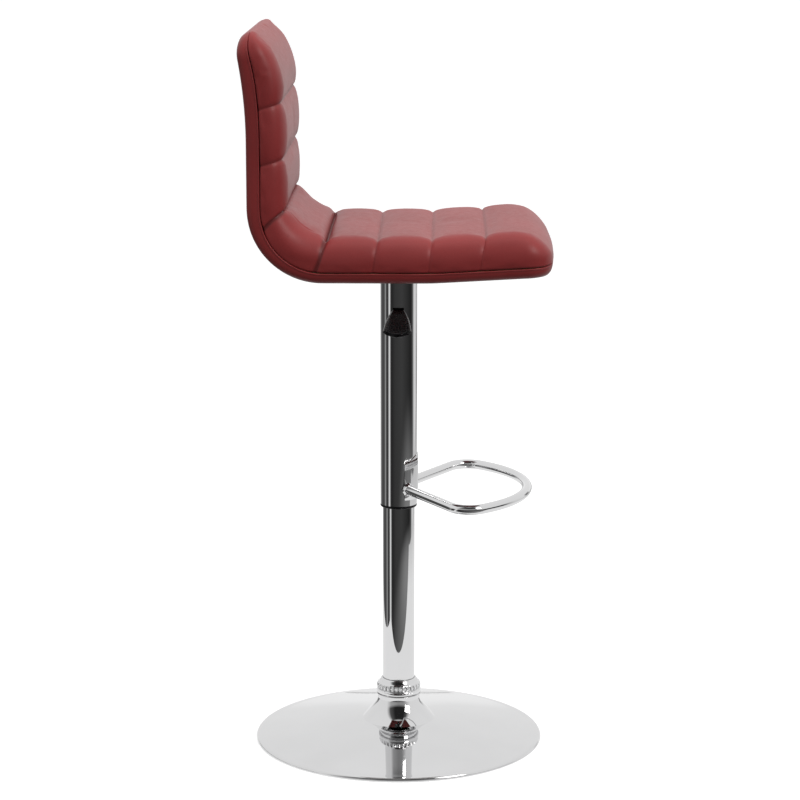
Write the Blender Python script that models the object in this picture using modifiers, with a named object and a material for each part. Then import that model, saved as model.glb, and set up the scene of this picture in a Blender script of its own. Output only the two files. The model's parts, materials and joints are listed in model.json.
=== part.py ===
"""Adjustable swivel stool: disc base, telescoping gas-lift column, footrest and an L-shaped padded seat.

Metres, +Z up. The origin lies on the floor under the column's axis. The sitter faces -Y and the
lift lever is on the sitter's right hand, towards -X. The seat is modelled at its highest position.
"""

import math

import bmesh
import bpy
from mathutils import Matrix, Vector

# ---------------------------------------------------------------- driving dimensions
CLEAR = 0.0003                # gap kept between touching pieces
FINE_CHAMFER = 0.0005
CHAMFER = 0.0008

# base
BASE_RADIUS = 0.225
BASE_RIM_HEIGHT = 0.0065      # top of the disc where the rim rounding starts
BASE_RIM_GAP = 0.0010         # the rim ends this far above the floor
BASE_SHEET = 0.0018
BASE_CROWN_HEIGHT = 0.030     # disc surface where the neck flare begins
FLARE_RADIUS = 0.058
FLARE_STEPS = 6
RIM_PROFILE = [(0.0100, 0.0), (0.0035, 0.0012), (0.0008, 0.0026), (0.0, 0.0040)]   # in from the edge, down
COLUMN_RADIUS = 0.025
SOCKET_WALL = 0.0042
NECK_ROOM = 0.0033            # from the socket's outside to the neck's outside
NECK_RADIUS = COLUMN_RADIUS + SOCKET_WALL + NECK_ROOM
NECK_HEIGHT = 0.070
FOOT_RING_OUTER = 0.2200
FOOT_RING_WIDTH = 0.014
FOOT_RING_HEIGHT = 0.0030
WEIGHT_RADIUS = 0.165
WEIGHT_THICKNESS = 0.006
WEIGHT_LIFT = 0.0045          # underside of the weight plate above the floor
SOCKET_FLOOR = 0.004
SOCKET_HEIGHT = 0.056
SOCKET_HOLE_RADIUS = 0.010

# lower column
COLUMN_WALL = 0.002
COLUMN_TOP = 0.408
COLLAR_WIDTH = 0.010
COLLAR_RADIUS = COLUMN_RADIUS + COLLAR_WIDTH
COLLAR_HEIGHT = 0.0255
COLLAR_TOP_EDGE = 0.0012      # width of the collar's top land
COLLAR_SHOULDERS = [(0.0050, 0.0035), (0.0082, 0.0085)]   # out from the bore, below the top
COLLAR_WALL_DROP = 0.0120     # the full radius starts this far below the top
COLLAR_FOOT = 0.0030
GUIDE_RECESS = 0.003
GUIDE_LENGTH = 0.065
END_PLATE_Z = 0.030
END_PLATE_THICKNESS = 0.006
WASHER_THICKNESS = 0.0010
THRUST_THICKNESS = 0.0030
THRUST_RADIUS = 0.014
BUMP_HEIGHT = 0.015
BUMP_RADIUS = 0.012
BUMP_GROOVE = 0.0016

# gas spring
ROD_RADIUS = 0.005
ROD_TOP = 0.326
ROD_BELOW_PLATE = 0.010
CLIP_RADIUS = 0.009
CLIP_THICKNESS = 0.0012
CYLINDER_RADIUS = 0.014
CYLINDER_WALL = 0.0016
CYLINDER_BOTTOM = 0.285
CYLINDER_TOP = 0.672
TAPER_LENGTH = 0.036
TAPER_TIP_RADIUS = 0.0125
SLEEVE_RECESS = 0.0015
CYLINDER_HEAD = 0.047         # solid metal above the gas chamber
GLAND_LENGTH = 0.014
PISTON_LENGTH = 0.012
PISTON_RECESS = 0.002         # the rod stands this far above its piston
GLAND_RECESS = 0.003
VALVE_RADIUS = 0.004
VALVE_DEPTH = 0.032

# upper cover tube
COVER_STEP = 0.0035           # the cover tube is this much bigger in radius than the lower tube
COVER_RADIUS = COLUMN_RADIUS + COVER_STEP
COVER_WALL = 0.0015
COVER_BOTTOM = 0.3775
LIP_HEIGHT = 0.0037
LIP_SLEEVE = 0.022
LIP_CHAMFER = 0.0018

# lever
PIVOT_X = -0.019
PIVOT_Z = 0.685
PIN_RADIUS = 0.0020
ARM_WIDTH = 0.014
ARM_THICKNESS = 0.003
ARM_BOSS = 0.0075
ARM_INNER_X = 0.006
ARM_LENGTH = 0.084
ARM_KNEE_DEPTH = 0.0020       # the arm bends down this far inside the cover tube's outside
ARM_KNEE_X = ARM_KNEE_DEPTH - COVER_RADIUS
LEVER_DROOP = math.radians(7.0)
GRIP_GAP = 0.0015
GRIP_START_X = -COVER_RADIUS - GRIP_GAP
GRIP_LENGTH = 0.126
GRIP_WIDTH_INNER = 0.019
GRIP_WIDTH_OUTER = 0.042
GRIP_THICKNESS = 0.0058
GRIP_THICKNESS_INNER = 0.0072
SLOT_HEIGHT = 0.0090
SLOT_SIDE_ROOM = 0.0015
SLOT_RISE = 0.0010            # the slot's middle stands above the pivot, for the lever's lift
SLOT_OVERRUN = 0.008
BRACKET_GAUGE = 0.0015
BRACKET_LENGTH = 0.009
BRACKET_HALF_WIDTH = 0.012
BRACKET_ABOVE_PIVOT = 0.005
PIN_OVERHANG = 0.0008
PIN_CUTTER_REACH = 0.02
BOSS_LENGTH = 0.0045          # the arm's boss reaches this far outwards from the pivot
GRIP_FLARE_REACH = 1.08       # the full width is reached just short of the outer end
GRIP_FLARE_POWER = 0.8
GRIP_STEPS = 10
GRIP_EDGE = 0.0016
GRIP_END_NARROWING = 0.012
GRIP_END_THINNING = 0.0020

# footrest
RING_ROD_RADIUS = 0.0080
RING_Z = 0.405
RING_REACH = 0.1995           # column axis to the middle of the rod at the front
RING_FRONT_RADIUS = 0.1875
RING_CORNER_RADIUS = 0.031
RING_ARM_ANGLE = math.radians(59.5)
RING_ARC_STEPS = 8
RING_SIDES_LEVEL = 3
SADDLE_GAUGE = 0.0015
SADDLE_HALF_ANGLE = math.radians(71.0)
SADDLE_BOTTOM = 0.388
SADDLE_TOP = 0.445
SADDLE_ARCH = 0.014
SADDLE_STEPS = 14

# seat shell, as a line along the rear and under side seen from the side
SEAT_UNDERSIDE = 0.7512
SEAT_FRONT = 0.2340           # front end ahead of the column axis
SEAT_KICK_Y = 0.052           # the underside rises ahead of this distance
SEAT_KICK = math.radians(3.2)
SEAT_KICK_RADIUS = 0.5
BACK_OFFSET = 0.2210          # rear face behind the column axis
SEAT_BEND_RADIUS = 0.110
LUMBAR_Z = 1.018
LUMBAR_RADIUS = 0.67
BACK_LEAN = math.radians(10.5)
BACK_TOP = 1.1150
SEAT_HALF_WIDTH = 0.190
SEAT_CORNER = 0.035
SEAT_THICKNESS = 0.068
BACK_THICKNESS = 0.060
CUSHION_EDGE = 0.022
EDGE_STEPS = 3
FRONT_ROUND = (0.045, 0.026)  # length and depth over which the front end's top is drawn in
FRONT_UNDER_ROUND = (0.012, 0.005)
TOP_ROUND = (0.055, 0.022)
TOP_REAR_ROUND = (0.030, 0.012)
SKIN = 0.0012
PADDING = 0.0040
PLY = 0.0100
BAND = 0.0178                 # rear cover's side wall
LAYER_TRIM = 0.008            # padding and plywood end this far inside the covers
STATION_STEP = 0.024

# seat fixing
PLATE_LENGTH = 0.150
PLATE_WIDTH = 0.160
PLATE_THICKNESS = 0.003
BOLT_PITCH_X = 0.110
BOLT_PITCH_Y = 0.080
BOLT_RADIUS = 0.004
BOLT_HEAD_RADIUS = 0.0075
BOLT_HEAD_HEIGHT = 0.0045
BOLT_WASHER_RADIUS = 0.010
BOLT_WASHER = 0.0015
BOLT_ROOM = 0.0008
BOLT_HEAD_CHAMFER = 0.0015
CUT_OVERRUN = 0.004
PLATE_CORNER = 0.012
PLATE_HOLE_ROOM = 0.0005
TNUT_BARREL_RADIUS = 0.0053
TNUT_FLANGE_RADIUS = 0.0100
TNUT_FLANGE = 0.0012
TNUT_BARREL = 0.0075

SHARP_ANGLE = math.radians(32.0)
MOST_STATIONS = 99            # more than the seat's length ever needs
TURN_FINE = 64                # sides of the disc
TURN = 40                     # sides of the tubes
TURN_MIDDLE = 32              # sides of hidden pieces as wide as the column
TURN_SMALL = 16               # sides of small and hidden pieces
TURN_BOLT = 12

# ---------------------------------------------------------------- dimensions that follow
COLUMN_BORE = COLUMN_RADIUS - COLUMN_WALL
SOCKET_BOTTOM = WEIGHT_LIFT + WEIGHT_THICKNESS + CLEAR
COLUMN_BOTTOM = SOCKET_BOTTOM + SOCKET_FLOOR + CLEAR
END_PLATE_TOP = END_PLATE_Z + END_PLATE_THICKNESS
LOWER_WASHER_Z = END_PLATE_TOP + CLEAR
THRUST_Z = LOWER_WASHER_Z + WASHER_THICKNESS + CLEAR
UPPER_WASHER_Z = THRUST_Z + THRUST_THICKNESS + CLEAR
BUMP_Z = UPPER_WASHER_Z + WASHER_THICKNESS + CLEAR
COVER_BORE = COVER_RADIUS - COVER_WALL
SLEEVE_BOTTOM = CYLINDER_TOP - TAPER_LENGTH
SLEEVE_TOP = CYLINDER_TOP - SLEEVE_RECESS
ARM_BOTTOM = PIVOT_Z - ARM_BOSS / 2
PLATE_TOP = SEAT_UNDERSIDE - CLEAR
PLATE_BOTTOM = PLATE_TOP - PLATE_THICKNESS
COVER_TOP = PLATE_BOTTOM - CLEAR
SADDLE_REACH = COVER_RADIUS + CLEAR + SADDLE_GAUGE + CLEAR   # where the footrest's rod starts
PADDING_D = SKIN + 2 * CLEAR
PLY_D = PADDING_D + PADDING + CLEAR
FOAM_D = PLY_D + PLY + CLEAR
CUSHION_D = BAND + CLEAR
LAYER_INSET = SKIN + 2 * CLEAR
FOAM_INSET = 2 * SKIN + CLEAR  # room for the skin where the cushion's faces slope


# ---------------------------------------------------------------- scene and materials
def clear_scene():
    for obj in list(bpy.data.objects):
        bpy.data.objects.remove(obj, do_unlink=True)


def make_collection(name):
    group = bpy.data.collections.new(name)
    bpy.context.scene.collection.children.link(group)
    return group


def make_material(name, color, roughness, metallic):
    mat = bpy.data.materials.new(name)
    mat.use_nodes = True
    shader = mat.node_tree.nodes["Principled BSDF"]
    shader.inputs["Base Color"].default_value = (*color, 1.0)
    shader.inputs["Roughness"].default_value = roughness
    shader.inputs["Metallic"].default_value = metallic
    mat.diffuse_color = (*color, 1.0)
    return mat


clear_scene()
PARTS = make_collection("adjustable_swivel_stool")
CUTTERS = make_collection("cutters")
CHROME = make_material("chrome", (0.80, 0.80, 0.81), 0.06, 1.0)
STEEL = make_material("plain_steel", (0.42, 0.43, 0.45), 0.40, 1.0)
ZINC = make_material("zinc_fastener", (0.62, 0.62, 0.60), 0.35, 1.0)
BLACK_PAINT = make_material("black_paint", (0.03, 0.03, 0.03), 0.45, 0.0)
GLOSS_BLACK = make_material("gloss_black_plastic", (0.012, 0.012, 0.013), 0.15, 0.0)
MATT_BLACK = make_material("matt_black_plastic", (0.02, 0.02, 0.02), 0.5, 0.0)
RUBBER = make_material("rubber", (0.02, 0.02, 0.02), 0.8, 0.0)
VINYL = make_material("burgundy_vinyl", (0.22, 0.025, 0.03), 0.42, 0.0)
FOAM = make_material("foam", (0.75, 0.70, 0.55), 0.95, 0.0)
WOOD = make_material("plywood", (0.60, 0.42, 0.25), 0.7, 0.0)


# ---------------------------------------------------------------- modelling helpers
def add_object(name, mesh, mat=None, group=None):
    obj = bpy.data.objects.new(name, mesh)
    (group or PARTS).objects.link(obj)
    if mat is not None:
        mesh.materials.clear()
        mesh.materials.append(mat)
    return obj


def smooth(mesh):
    mesh.shade_smooth()
    mesh.set_sharp_from_angle(angle=SHARP_ANGLE)


def mesh_from_bmesh(name, bm):
    bmesh.ops.recalc_face_normals(bm, faces=bm.faces[:])
    mesh = bpy.data.meshes.new(name)
    bm.to_mesh(mesh)
    bm.free()
    smooth(mesh)
    return mesh


def profile_mesh(name, points, closed):
    """Edges of a turning profile in the XZ plane."""
    mesh = bpy.data.meshes.new(name)
    verts = [(r, 0.0, z) for r, z in points]
    edges = [(i, i + 1) for i in range(len(points) - 1)]
    if closed:
        edges.append((len(points) - 1, 0))
    mesh.from_pydata(verts, edges, [])
    return mesh


def add_screw(obj, steps):
    screw = obj.modifiers.new("turn", "SCREW")
    screw.axis = "Z"
    screw.angle = math.tau
    screw.steps = steps
    screw.render_steps = steps
    screw.use_merge_vertices = True
    screw.merge_threshold = 0.00001
    screw.use_smooth_shade = True


def turned(name, points, mat, steps=TURN, closed=True, mesh=None, location=(0, 0, 0)):
    """A turned piece. The points run down the outer side, then up the bore."""
    obj = add_object(name, mesh or profile_mesh(name, points, closed), mat)
    obj.location = location
    add_screw(obj, steps)
    return obj


def ring_profile(r_in, r_out, z_low, z_high, edge=0.0):
    """Section of a ring or tube, with its outer corners chamfered by edge."""
    if edge == 0.0:
        return [(r_out, z_high), (r_out, z_low), (r_in, z_low), (r_in, z_high)]
    return [(r_out - edge, z_high), (r_out, z_high - edge), (r_out, z_low + edge),
            (r_out - edge, z_low), (r_in, z_low), (r_in, z_high)]


def rod_profile(radius, z_low, z_high, edge=0.0):
    """Section of a round bar, from its axis at the top to its axis at the bottom."""
    if edge == 0.0:
        return [(0.0, z_high), (radius, z_high), (radius, z_low), (0.0, z_low)]
    return [(0.0, z_high), (radius - edge, z_high), (radius, z_high - edge),
            (radius, z_low + edge), (radius - edge, z_low), (0.0, z_low)]


def loft(name, rings, mat=None, group=None):
    """Closed body through rings of equal vertex count."""
    bm = bmesh.new()
    loops = [[bm.verts.new(p) for p in ring] for ring in rings]
    count = len(loops[0])
    for a, b in zip(loops, loops[1:]):
        for i in range(count):
            j = (i + 1) % count
            bm.faces.new((a[i], a[j], b[j], b[i]))
    bm.faces.new(loops[0])
    bm.faces.new(list(reversed(loops[-1])))
    return add_object(name, mesh_from_bmesh(name, bm), mat, group)


def box_mesh(name, size, centre):
    bm = bmesh.new()
    bmesh.ops.create_cube(bm, size=1.0)
    bmesh.ops.transform(bm, matrix=Matrix.Translation(centre) @ Matrix.Diagonal((*size, 1.0)), verts=bm.verts)
    return mesh_from_bmesh(name, bm)


def cylinder_into(bm, radius, z_low, z_high, x, y, steps=TURN_SMALL):
    made = bmesh.ops.create_cone(bm, cap_ends=True, segments=steps, radius1=radius, radius2=radius,
                                 depth=z_high - z_low)
    centre = Vector((x, y, (z_low + z_high) / 2))
    bmesh.ops.translate(bm, verts=made["verts"], vec=centre)


def hide_cutter(obj):
    obj.hide_render = True
    obj.display_type = "WIRE"


def cut(obj, cutter):
    hide_cutter(cutter)
    boolean = obj.modifiers.new("cut_" + cutter.name, "BOOLEAN")
    boolean.operation = "DIFFERENCE"
    boolean.solver = "EXACT"
    boolean.object = cutter


def bolt_places():
    for x in (-BOLT_PITCH_X / 2, BOLT_PITCH_X / 2):
        for y in (-BOLT_PITCH_Y / 2, BOLT_PITCH_Y / 2):
            yield x, y


def bolt_hole_cutter(name, radius, z_low, z_high):
    bm = bmesh.new()
    for x, y in bolt_places():
        cylinder_into(bm, radius, z_low, z_high, x, y)
    return add_object(name, mesh_from_bmesh(name, bm), None, CUTTERS)


def arc(centre, radius, start, end, steps):
    """Points on an arc, angles in radians."""
    points = []
    for i in range(steps + 1):
        angle = start + (end - start) * i / steps
        points.append((centre[0] + radius * math.cos(angle), centre[1] + radius * math.sin(angle)))
    return points


# ---------------------------------------------------------------- base
def base_outline():
    """Chromed disc from the neck's top, down the flare and out to the rim."""
    flare_h = NECK_HEIGHT - BASE_CROWN_HEIGHT
    flare_w = FLARE_RADIUS - NECK_RADIUS
    flare = []
    for i in range(FLARE_STEPS + 1):
        angle = math.pi / 2 * i / FLARE_STEPS
        flare.append((FLARE_RADIUS - flare_w * math.cos(angle), NECK_HEIGHT - flare_h * math.sin(angle)))
    rim = [(BASE_RADIUS - inward, BASE_RIM_HEIGHT - drop) for inward, drop in RIM_PROFILE]
    return flare + rim + [(BASE_RADIUS, BASE_RIM_GAP)]


def make_base_plate():
    obj = turned("base_plate", base_outline(), CHROME, TURN_FINE, closed=False)
    shell = obj.modifiers.new("sheet", "SOLIDIFY")
    shell.thickness = BASE_SHEET
    shell.offset = -1.0
    shell.use_even_offset = True


def make_base_inside():
    inner = FOOT_RING_OUTER - FOOT_RING_WIDTH
    turned("base_foot_ring", ring_profile(inner, FOOT_RING_OUTER, 0.0, FOOT_RING_HEIGHT), RUBBER, TURN_FINE)
    weight_top = WEIGHT_LIFT + WEIGHT_THICKNESS
    weight = ring_profile(SOCKET_HOLE_RADIUS, WEIGHT_RADIUS, WEIGHT_LIFT, weight_top)
    turned("weight_plate", weight, STEEL, TURN_MIDDLE)
    bore = COLUMN_RADIUS + CLEAR
    outer = bore + SOCKET_WALL
    floor_top = SOCKET_BOTTOM + SOCKET_FLOOR
    top = SOCKET_BOTTOM + SOCKET_HEIGHT
    turned("hub_socket", [(outer, top), (outer, SOCKET_BOTTOM), (SOCKET_HOLE_RADIUS, SOCKET_BOTTOM),
                          (SOCKET_HOLE_RADIUS, floor_top), (bore, floor_top), (bore, top)], STEEL,
           TURN_MIDDLE)


def make_column():
    turned("column_tube", ring_profile(COLUMN_BORE, COLUMN_RADIUS, COLUMN_BOTTOM, COLUMN_TOP), CHROME)
    bottom = NECK_HEIGHT + CLEAR
    top = bottom + COLLAR_HEIGHT
    bore = COLUMN_RADIUS + CLEAR
    shoulders = [(bore + out, top - drop) for out, drop in COLLAR_SHOULDERS]
    turned("column_collar", [(bore + COLLAR_TOP_EDGE, top), *shoulders, (COLLAR_RADIUS, top - COLLAR_WALL_DROP),
                             (COLLAR_RADIUS, bottom + COLLAR_FOOT), (COLLAR_RADIUS - COLLAR_TOP_EDGE, bottom),
                             (bore, bottom), (bore, top)], CHROME)
    guide_bore = CYLINDER_RADIUS + CLEAR
    guide_top = COLUMN_TOP - GUIDE_RECESS
    turned("column_guide_bush", ring_profile(guide_bore, COLUMN_BORE - CLEAR, guide_top - GUIDE_LENGTH, guide_top),
           MATT_BLACK, TURN_MIDDLE)
    plate_hole = ROD_RADIUS + CLEAR
    turned("column_end_plate", ring_profile(plate_hole, COLUMN_BORE - CLEAR, END_PLATE_Z, END_PLATE_TOP), STEEL,
           TURN_MIDDLE)
    turned("bearing_lower_washer", ring_profile(plate_hole, THRUST_RADIUS, LOWER_WASHER_Z,
                                                LOWER_WASHER_Z + WASHER_THICKNESS), ZINC, TURN_SMALL)
    thrust_top = THRUST_Z + THRUST_THICKNESS
    turned("thrust_bearing", ring_profile(plate_hole, THRUST_RADIUS, THRUST_Z, thrust_top, FINE_CHAMFER),
           STEEL, TURN_SMALL)


# ---------------------------------------------------------------- spindle: what turns but doesn't lift
def make_spindle():
    hole = ROD_RADIUS + CLEAR
    turned("bearing_upper_washer", ring_profile(hole, THRUST_RADIUS, UPPER_WASHER_Z,
                                                UPPER_WASHER_Z + WASHER_THICKNESS), ZINC, TURN_SMALL)
    top = BUMP_Z + BUMP_HEIGHT
    middle = BUMP_Z + BUMP_HEIGHT / 2
    groove = [(BUMP_RADIUS, middle + BUMP_GROOVE), (BUMP_RADIUS - BUMP_GROOVE, middle),
              (BUMP_RADIUS, middle - BUMP_GROOVE)]
    turned("bump_stop", [(BUMP_RADIUS, top), *groove, (BUMP_RADIUS, BUMP_Z), (hole, BUMP_Z), (hole, top)],
           RUBBER, TURN_SMALL)
    rod_bottom = END_PLATE_Z - ROD_BELOW_PLATE
    turned("piston_rod", rod_profile(ROD_RADIUS, rod_bottom, ROD_TOP, CHAMFER), CHROME, TURN_SMALL, closed=False)
    washer_z = END_PLATE_Z - CLEAR - WASHER_THICKNESS
    turned("rod_washer", ring_profile(hole, THRUST_RADIUS, washer_z, washer_z + WASHER_THICKNESS), ZINC, TURN_SMALL)
    clip_z = washer_z - CLEAR - CLIP_THICKNESS
    turned("rod_clip", ring_profile(hole, CLIP_RADIUS, clip_z, clip_z + CLIP_THICKNESS), ZINC, TURN_SMALL)
    piston_top = ROD_TOP - PISTON_RECESS
    turned("gas_piston", ring_profile(hole, CYLINDER_RADIUS - CYLINDER_WALL - CLEAR, piston_top - PISTON_LENGTH,
                                      piston_top, CHAMFER), STEEL, TURN_SMALL)


# ---------------------------------------------------------------- carriage: what lifts with the seat
def make_gas_cylinder():
    bore = CYLINDER_RADIUS - CYLINDER_WALL
    valve = VALVE_RADIUS + CLEAR
    chamber_top = CYLINDER_TOP - CYLINDER_HEAD
    turned("gas_cylinder", [(TAPER_TIP_RADIUS, CYLINDER_TOP), (CYLINDER_RADIUS, SLEEVE_BOTTOM),
                            (CYLINDER_RADIUS, CYLINDER_BOTTOM), (bore, CYLINDER_BOTTOM), (bore, chamber_top),
                            (valve, chamber_top), (valve, CYLINDER_TOP)], BLACK_PAINT, TURN_MIDDLE)
    gland_z = CYLINDER_BOTTOM + GLAND_RECESS
    turned("cylinder_gland", ring_profile(ROD_RADIUS + CLEAR, bore - CLEAR, gland_z, gland_z + GLAND_LENGTH),
           MATT_BLACK, TURN_SMALL)
    pin_top = ARM_BOTTOM - CLEAR
    turned("valve_pin", rod_profile(VALVE_RADIUS, CYLINDER_TOP - VALVE_DEPTH, pin_top, CHAMFER), ZINC, TURN_SMALL,
           closed=False)


def make_cover_tube():
    obj = turned("cover_tube", ring_profile(COVER_BORE, COVER_RADIUS, COVER_BOTTOM, COVER_TOP), CHROME)
    slot_x = -COVER_RADIUS
    slot_size = (COVER_WALL + SLOT_OVERRUN, ARM_WIDTH + 2 * SLOT_SIDE_ROOM, SLOT_HEIGHT)
    slot = box_mesh("lever_slot", slot_size, Vector((slot_x, 0.0, PIVOT_Z + SLOT_RISE)))
    cut(obj, add_object("lever_slot", slot, None, CUTTERS))
    lip_bore = COLUMN_RADIUS + CLEAR
    lip_top = COVER_BOTTOM - CLEAR
    sleeve_outer = COVER_BORE - CLEAR
    lip_low = COVER_BOTTOM - LIP_HEIGHT
    turned("tube_bushing", [(sleeve_outer, COVER_BOTTOM + LIP_SLEEVE), (sleeve_outer, lip_top),
                            (COVER_RADIUS, lip_top),
                            (COVER_RADIUS, lip_low + LIP_CHAMFER), (COVER_RADIUS - LIP_CHAMFER, lip_low),
                            (lip_bore, lip_low),
                            (lip_bore, COVER_BOTTOM + LIP_SLEEVE)], MATT_BLACK)
    turned("taper_sleeve", [(COVER_BORE - CLEAR, SLEEVE_TOP), (COVER_BORE - CLEAR, SLEEVE_BOTTOM),
                            (CYLINDER_RADIUS + CLEAR, SLEEVE_BOTTOM),
                            (taper_radius(SLEEVE_TOP) + CLEAR, SLEEVE_TOP)], STEEL, TURN_MIDDLE)


def taper_radius(z):
    share = (z - SLEEVE_BOTTOM) / (CYLINDER_TOP - SLEEVE_BOTTOM)
    return CYLINDER_RADIUS + (TAPER_TIP_RADIUS - CYLINDER_RADIUS) * share


def pin_cutter(name, radius):
    """A bar along Y at the lever's pivot, wider than the bracket."""
    bm = bmesh.new()
    cylinder_into(bm, radius, -PIN_CUTTER_REACH, PIN_CUTTER_REACH, 0.0, 0.0)
    turn = Matrix.Translation((PIVOT_X, 0.0, PIVOT_Z)) @ Matrix.Rotation(math.pi / 2, 4, "X")
    bmesh.ops.transform(bm, matrix=turn, verts=bm.verts)
    return add_object(name, mesh_from_bmesh(name, bm), None, CUTTERS)


def make_lever_bracket():
    base = SLEEVE_TOP + CLEAR
    half = BRACKET_HALF_WIDTH
    inner = half - BRACKET_GAUGE
    top = PIVOT_Z + BRACKET_ABOVE_PIVOT
    outline = [(-half, base), (half, base), (half, top), (inner, top), (inner, base + BRACKET_GAUGE),
               (-inner, base + BRACKET_GAUGE), (-inner, top), (-half, top)]
    ends = (PIVOT_X - BRACKET_LENGTH / 2, PIVOT_X + BRACKET_LENGTH / 2)
    rings = [[(x, y, z) for y, z in outline] for x in ends]
    bracket = loft("lever_bracket", rings, STEEL)
    cut(bracket, pin_cutter("bracket_pin_hole", PIN_RADIUS + CLEAR))
    bm = bmesh.new()
    cylinder_into(bm, PIN_RADIUS, -half - PIN_OVERHANG, half + PIN_OVERHANG, 0.0, 0.0)
    turn = Matrix.Translation((PIVOT_X, 0.0, PIVOT_Z)) @ Matrix.Rotation(math.pi / 2, 4, "X")
    bmesh.ops.transform(bm, matrix=turn, verts=bm.verts)
    add_object("lever_pin", mesh_from_bmesh("lever_pin", bm), ZINC)


def arm_outline(grow, start_x):
    """Side view of the lever arm in XZ, grown all round by a clearance."""
    half = ARM_THICKNESS / 2 + grow
    end_x = ARM_KNEE_X - ARM_LENGTH - grow
    end_z = PIVOT_Z - (ARM_LENGTH + grow) * math.tan(LEVER_DROOP)
    boss = ARM_BOSS / 2 + grow
    boss_x = PIVOT_X - BOSS_LENGTH
    outline = [(end_x, end_z - half), (ARM_KNEE_X, PIVOT_Z - half)]
    if start_x > boss_x:
        outline += [(boss_x, PIVOT_Z - boss), (start_x, PIVOT_Z - boss), (start_x, PIVOT_Z + boss),
                    (boss_x, PIVOT_Z + boss)]
    outline += [(ARM_KNEE_X, PIVOT_Z + half), (end_x, end_z + half)]
    return outline


def plate_from_side(name, outline, half_width, mat, group=None):
    rings = [[(x, y, z) for x, z in outline] for y in (-half_width, half_width)]
    return loft(name, rings, mat, group)


def make_lever():
    arm = plate_from_side("lever_arm", arm_outline(0.0, ARM_INNER_X), ARM_WIDTH / 2, ZINC)
    cut(arm, pin_cutter("arm_pin_hole", PIN_RADIUS + CLEAR))
    rings = []
    for i in range(GRIP_STEPS + 1):
        share = i / GRIP_STEPS
        x = GRIP_START_X - GRIP_LENGTH * share
        z = PIVOT_Z + (x - ARM_KNEE_X) * math.tan(LEVER_DROOP)
        flare = math.sin(math.pi / 2 * min(1.0, share * GRIP_FLARE_REACH)) ** GRIP_FLARE_POWER
        width = GRIP_WIDTH_INNER + (GRIP_WIDTH_OUTER - GRIP_WIDTH_INNER) * flare
        thick = GRIP_THICKNESS_INNER + (GRIP_THICKNESS - GRIP_THICKNESS_INNER) * share
        if i == GRIP_STEPS:
            width -= GRIP_END_NARROWING
            thick -= GRIP_END_THINNING
        rings.append(paddle_ring(x, z, width / 2, thick / 2))
    grip = loft("lever_grip", rings, GLOSS_BLACK)
    pocket_outline = arm_outline(CLEAR, ARM_INNER_X)
    pocket = plate_from_side("arm_pocket", pocket_outline, ARM_WIDTH / 2 + CLEAR, None, CUTTERS)
    cut(grip, pocket)


def paddle_ring(x, z, half_w, half_t):
    corner = min(GRIP_EDGE, half_t * 0.8)
    flat_w = half_w - corner
    flat_t = half_t - corner
    corners = [(-half_w, -flat_t), (-flat_w, -half_t), (flat_w, -half_t), (half_w, -flat_t),
               (half_w, flat_t), (flat_w, half_t), (-flat_w, half_t), (-half_w, flat_t)]
    return [(x, y, z + rise) for y, rise in corners]


# ---------------------------------------------------------------- footrest
def ring_route():
    """Middle of the footrest's rod in plan, as (across, ahead), from one end to the other."""
    front_centre = RING_REACH - RING_FRONT_RADIUS
    cos_a = math.cos(RING_ARM_ANGLE)
    sin_a = math.sin(RING_ARM_ANGLE)
    r = RING_CORNER_RADIUS
    # the corner's centre lies r inside the arm and on a circle r inside the front arc
    b = -2.0 * front_centre * cos_a
    shift = -2.0 * front_centre * r * sin_a
    c = r * r + front_centre ** 2 + shift - (RING_FRONT_RADIUS - r) ** 2
    along = (-b + math.sqrt(b * b - 4.0 * c)) / 2.0
    ahead = along * cos_a + r * sin_a
    across = along * sin_a - r * cos_a
    corner_end = math.atan2(across, ahead - front_centre)
    half = [(sin_a * SADDLE_REACH, cos_a * SADDLE_REACH)]
    corner_start = RING_ARM_ANGLE + math.pi / 2
    for ah, ac in arc((ahead, across), r, corner_start, corner_end, RING_ARC_STEPS):
        half.append((ac, ah))
    for ah, ac in arc((front_centre, 0.0), RING_FRONT_RADIUS, corner_end, 0.0, RING_ARC_STEPS)[1:]:
        half.append((ac, ah))
    other = [(-ac, ah) for ac, ah in reversed(half[:-1])]
    return half + other


def make_footrest():
    curve = bpy.data.curves.new("footrest_ring", "CURVE")
    curve.dimensions = "3D"
    curve.bevel_depth = RING_ROD_RADIUS
    curve.bevel_resolution = RING_SIDES_LEVEL
    curve.use_fill_caps = True
    curve.render_resolution_u = 0
    route = ring_route()
    spline = curve.splines.new("POLY")
    spline.points.add(len(route) - 1)
    for point, (across, ahead) in zip(spline.points, route):
        point.co = (across, -ahead, RING_Z, 1.0)
    curve.materials.append(CHROME)
    ring = bpy.data.objects.new("footrest_ring", curve)
    PARTS.objects.link(ring)


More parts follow.
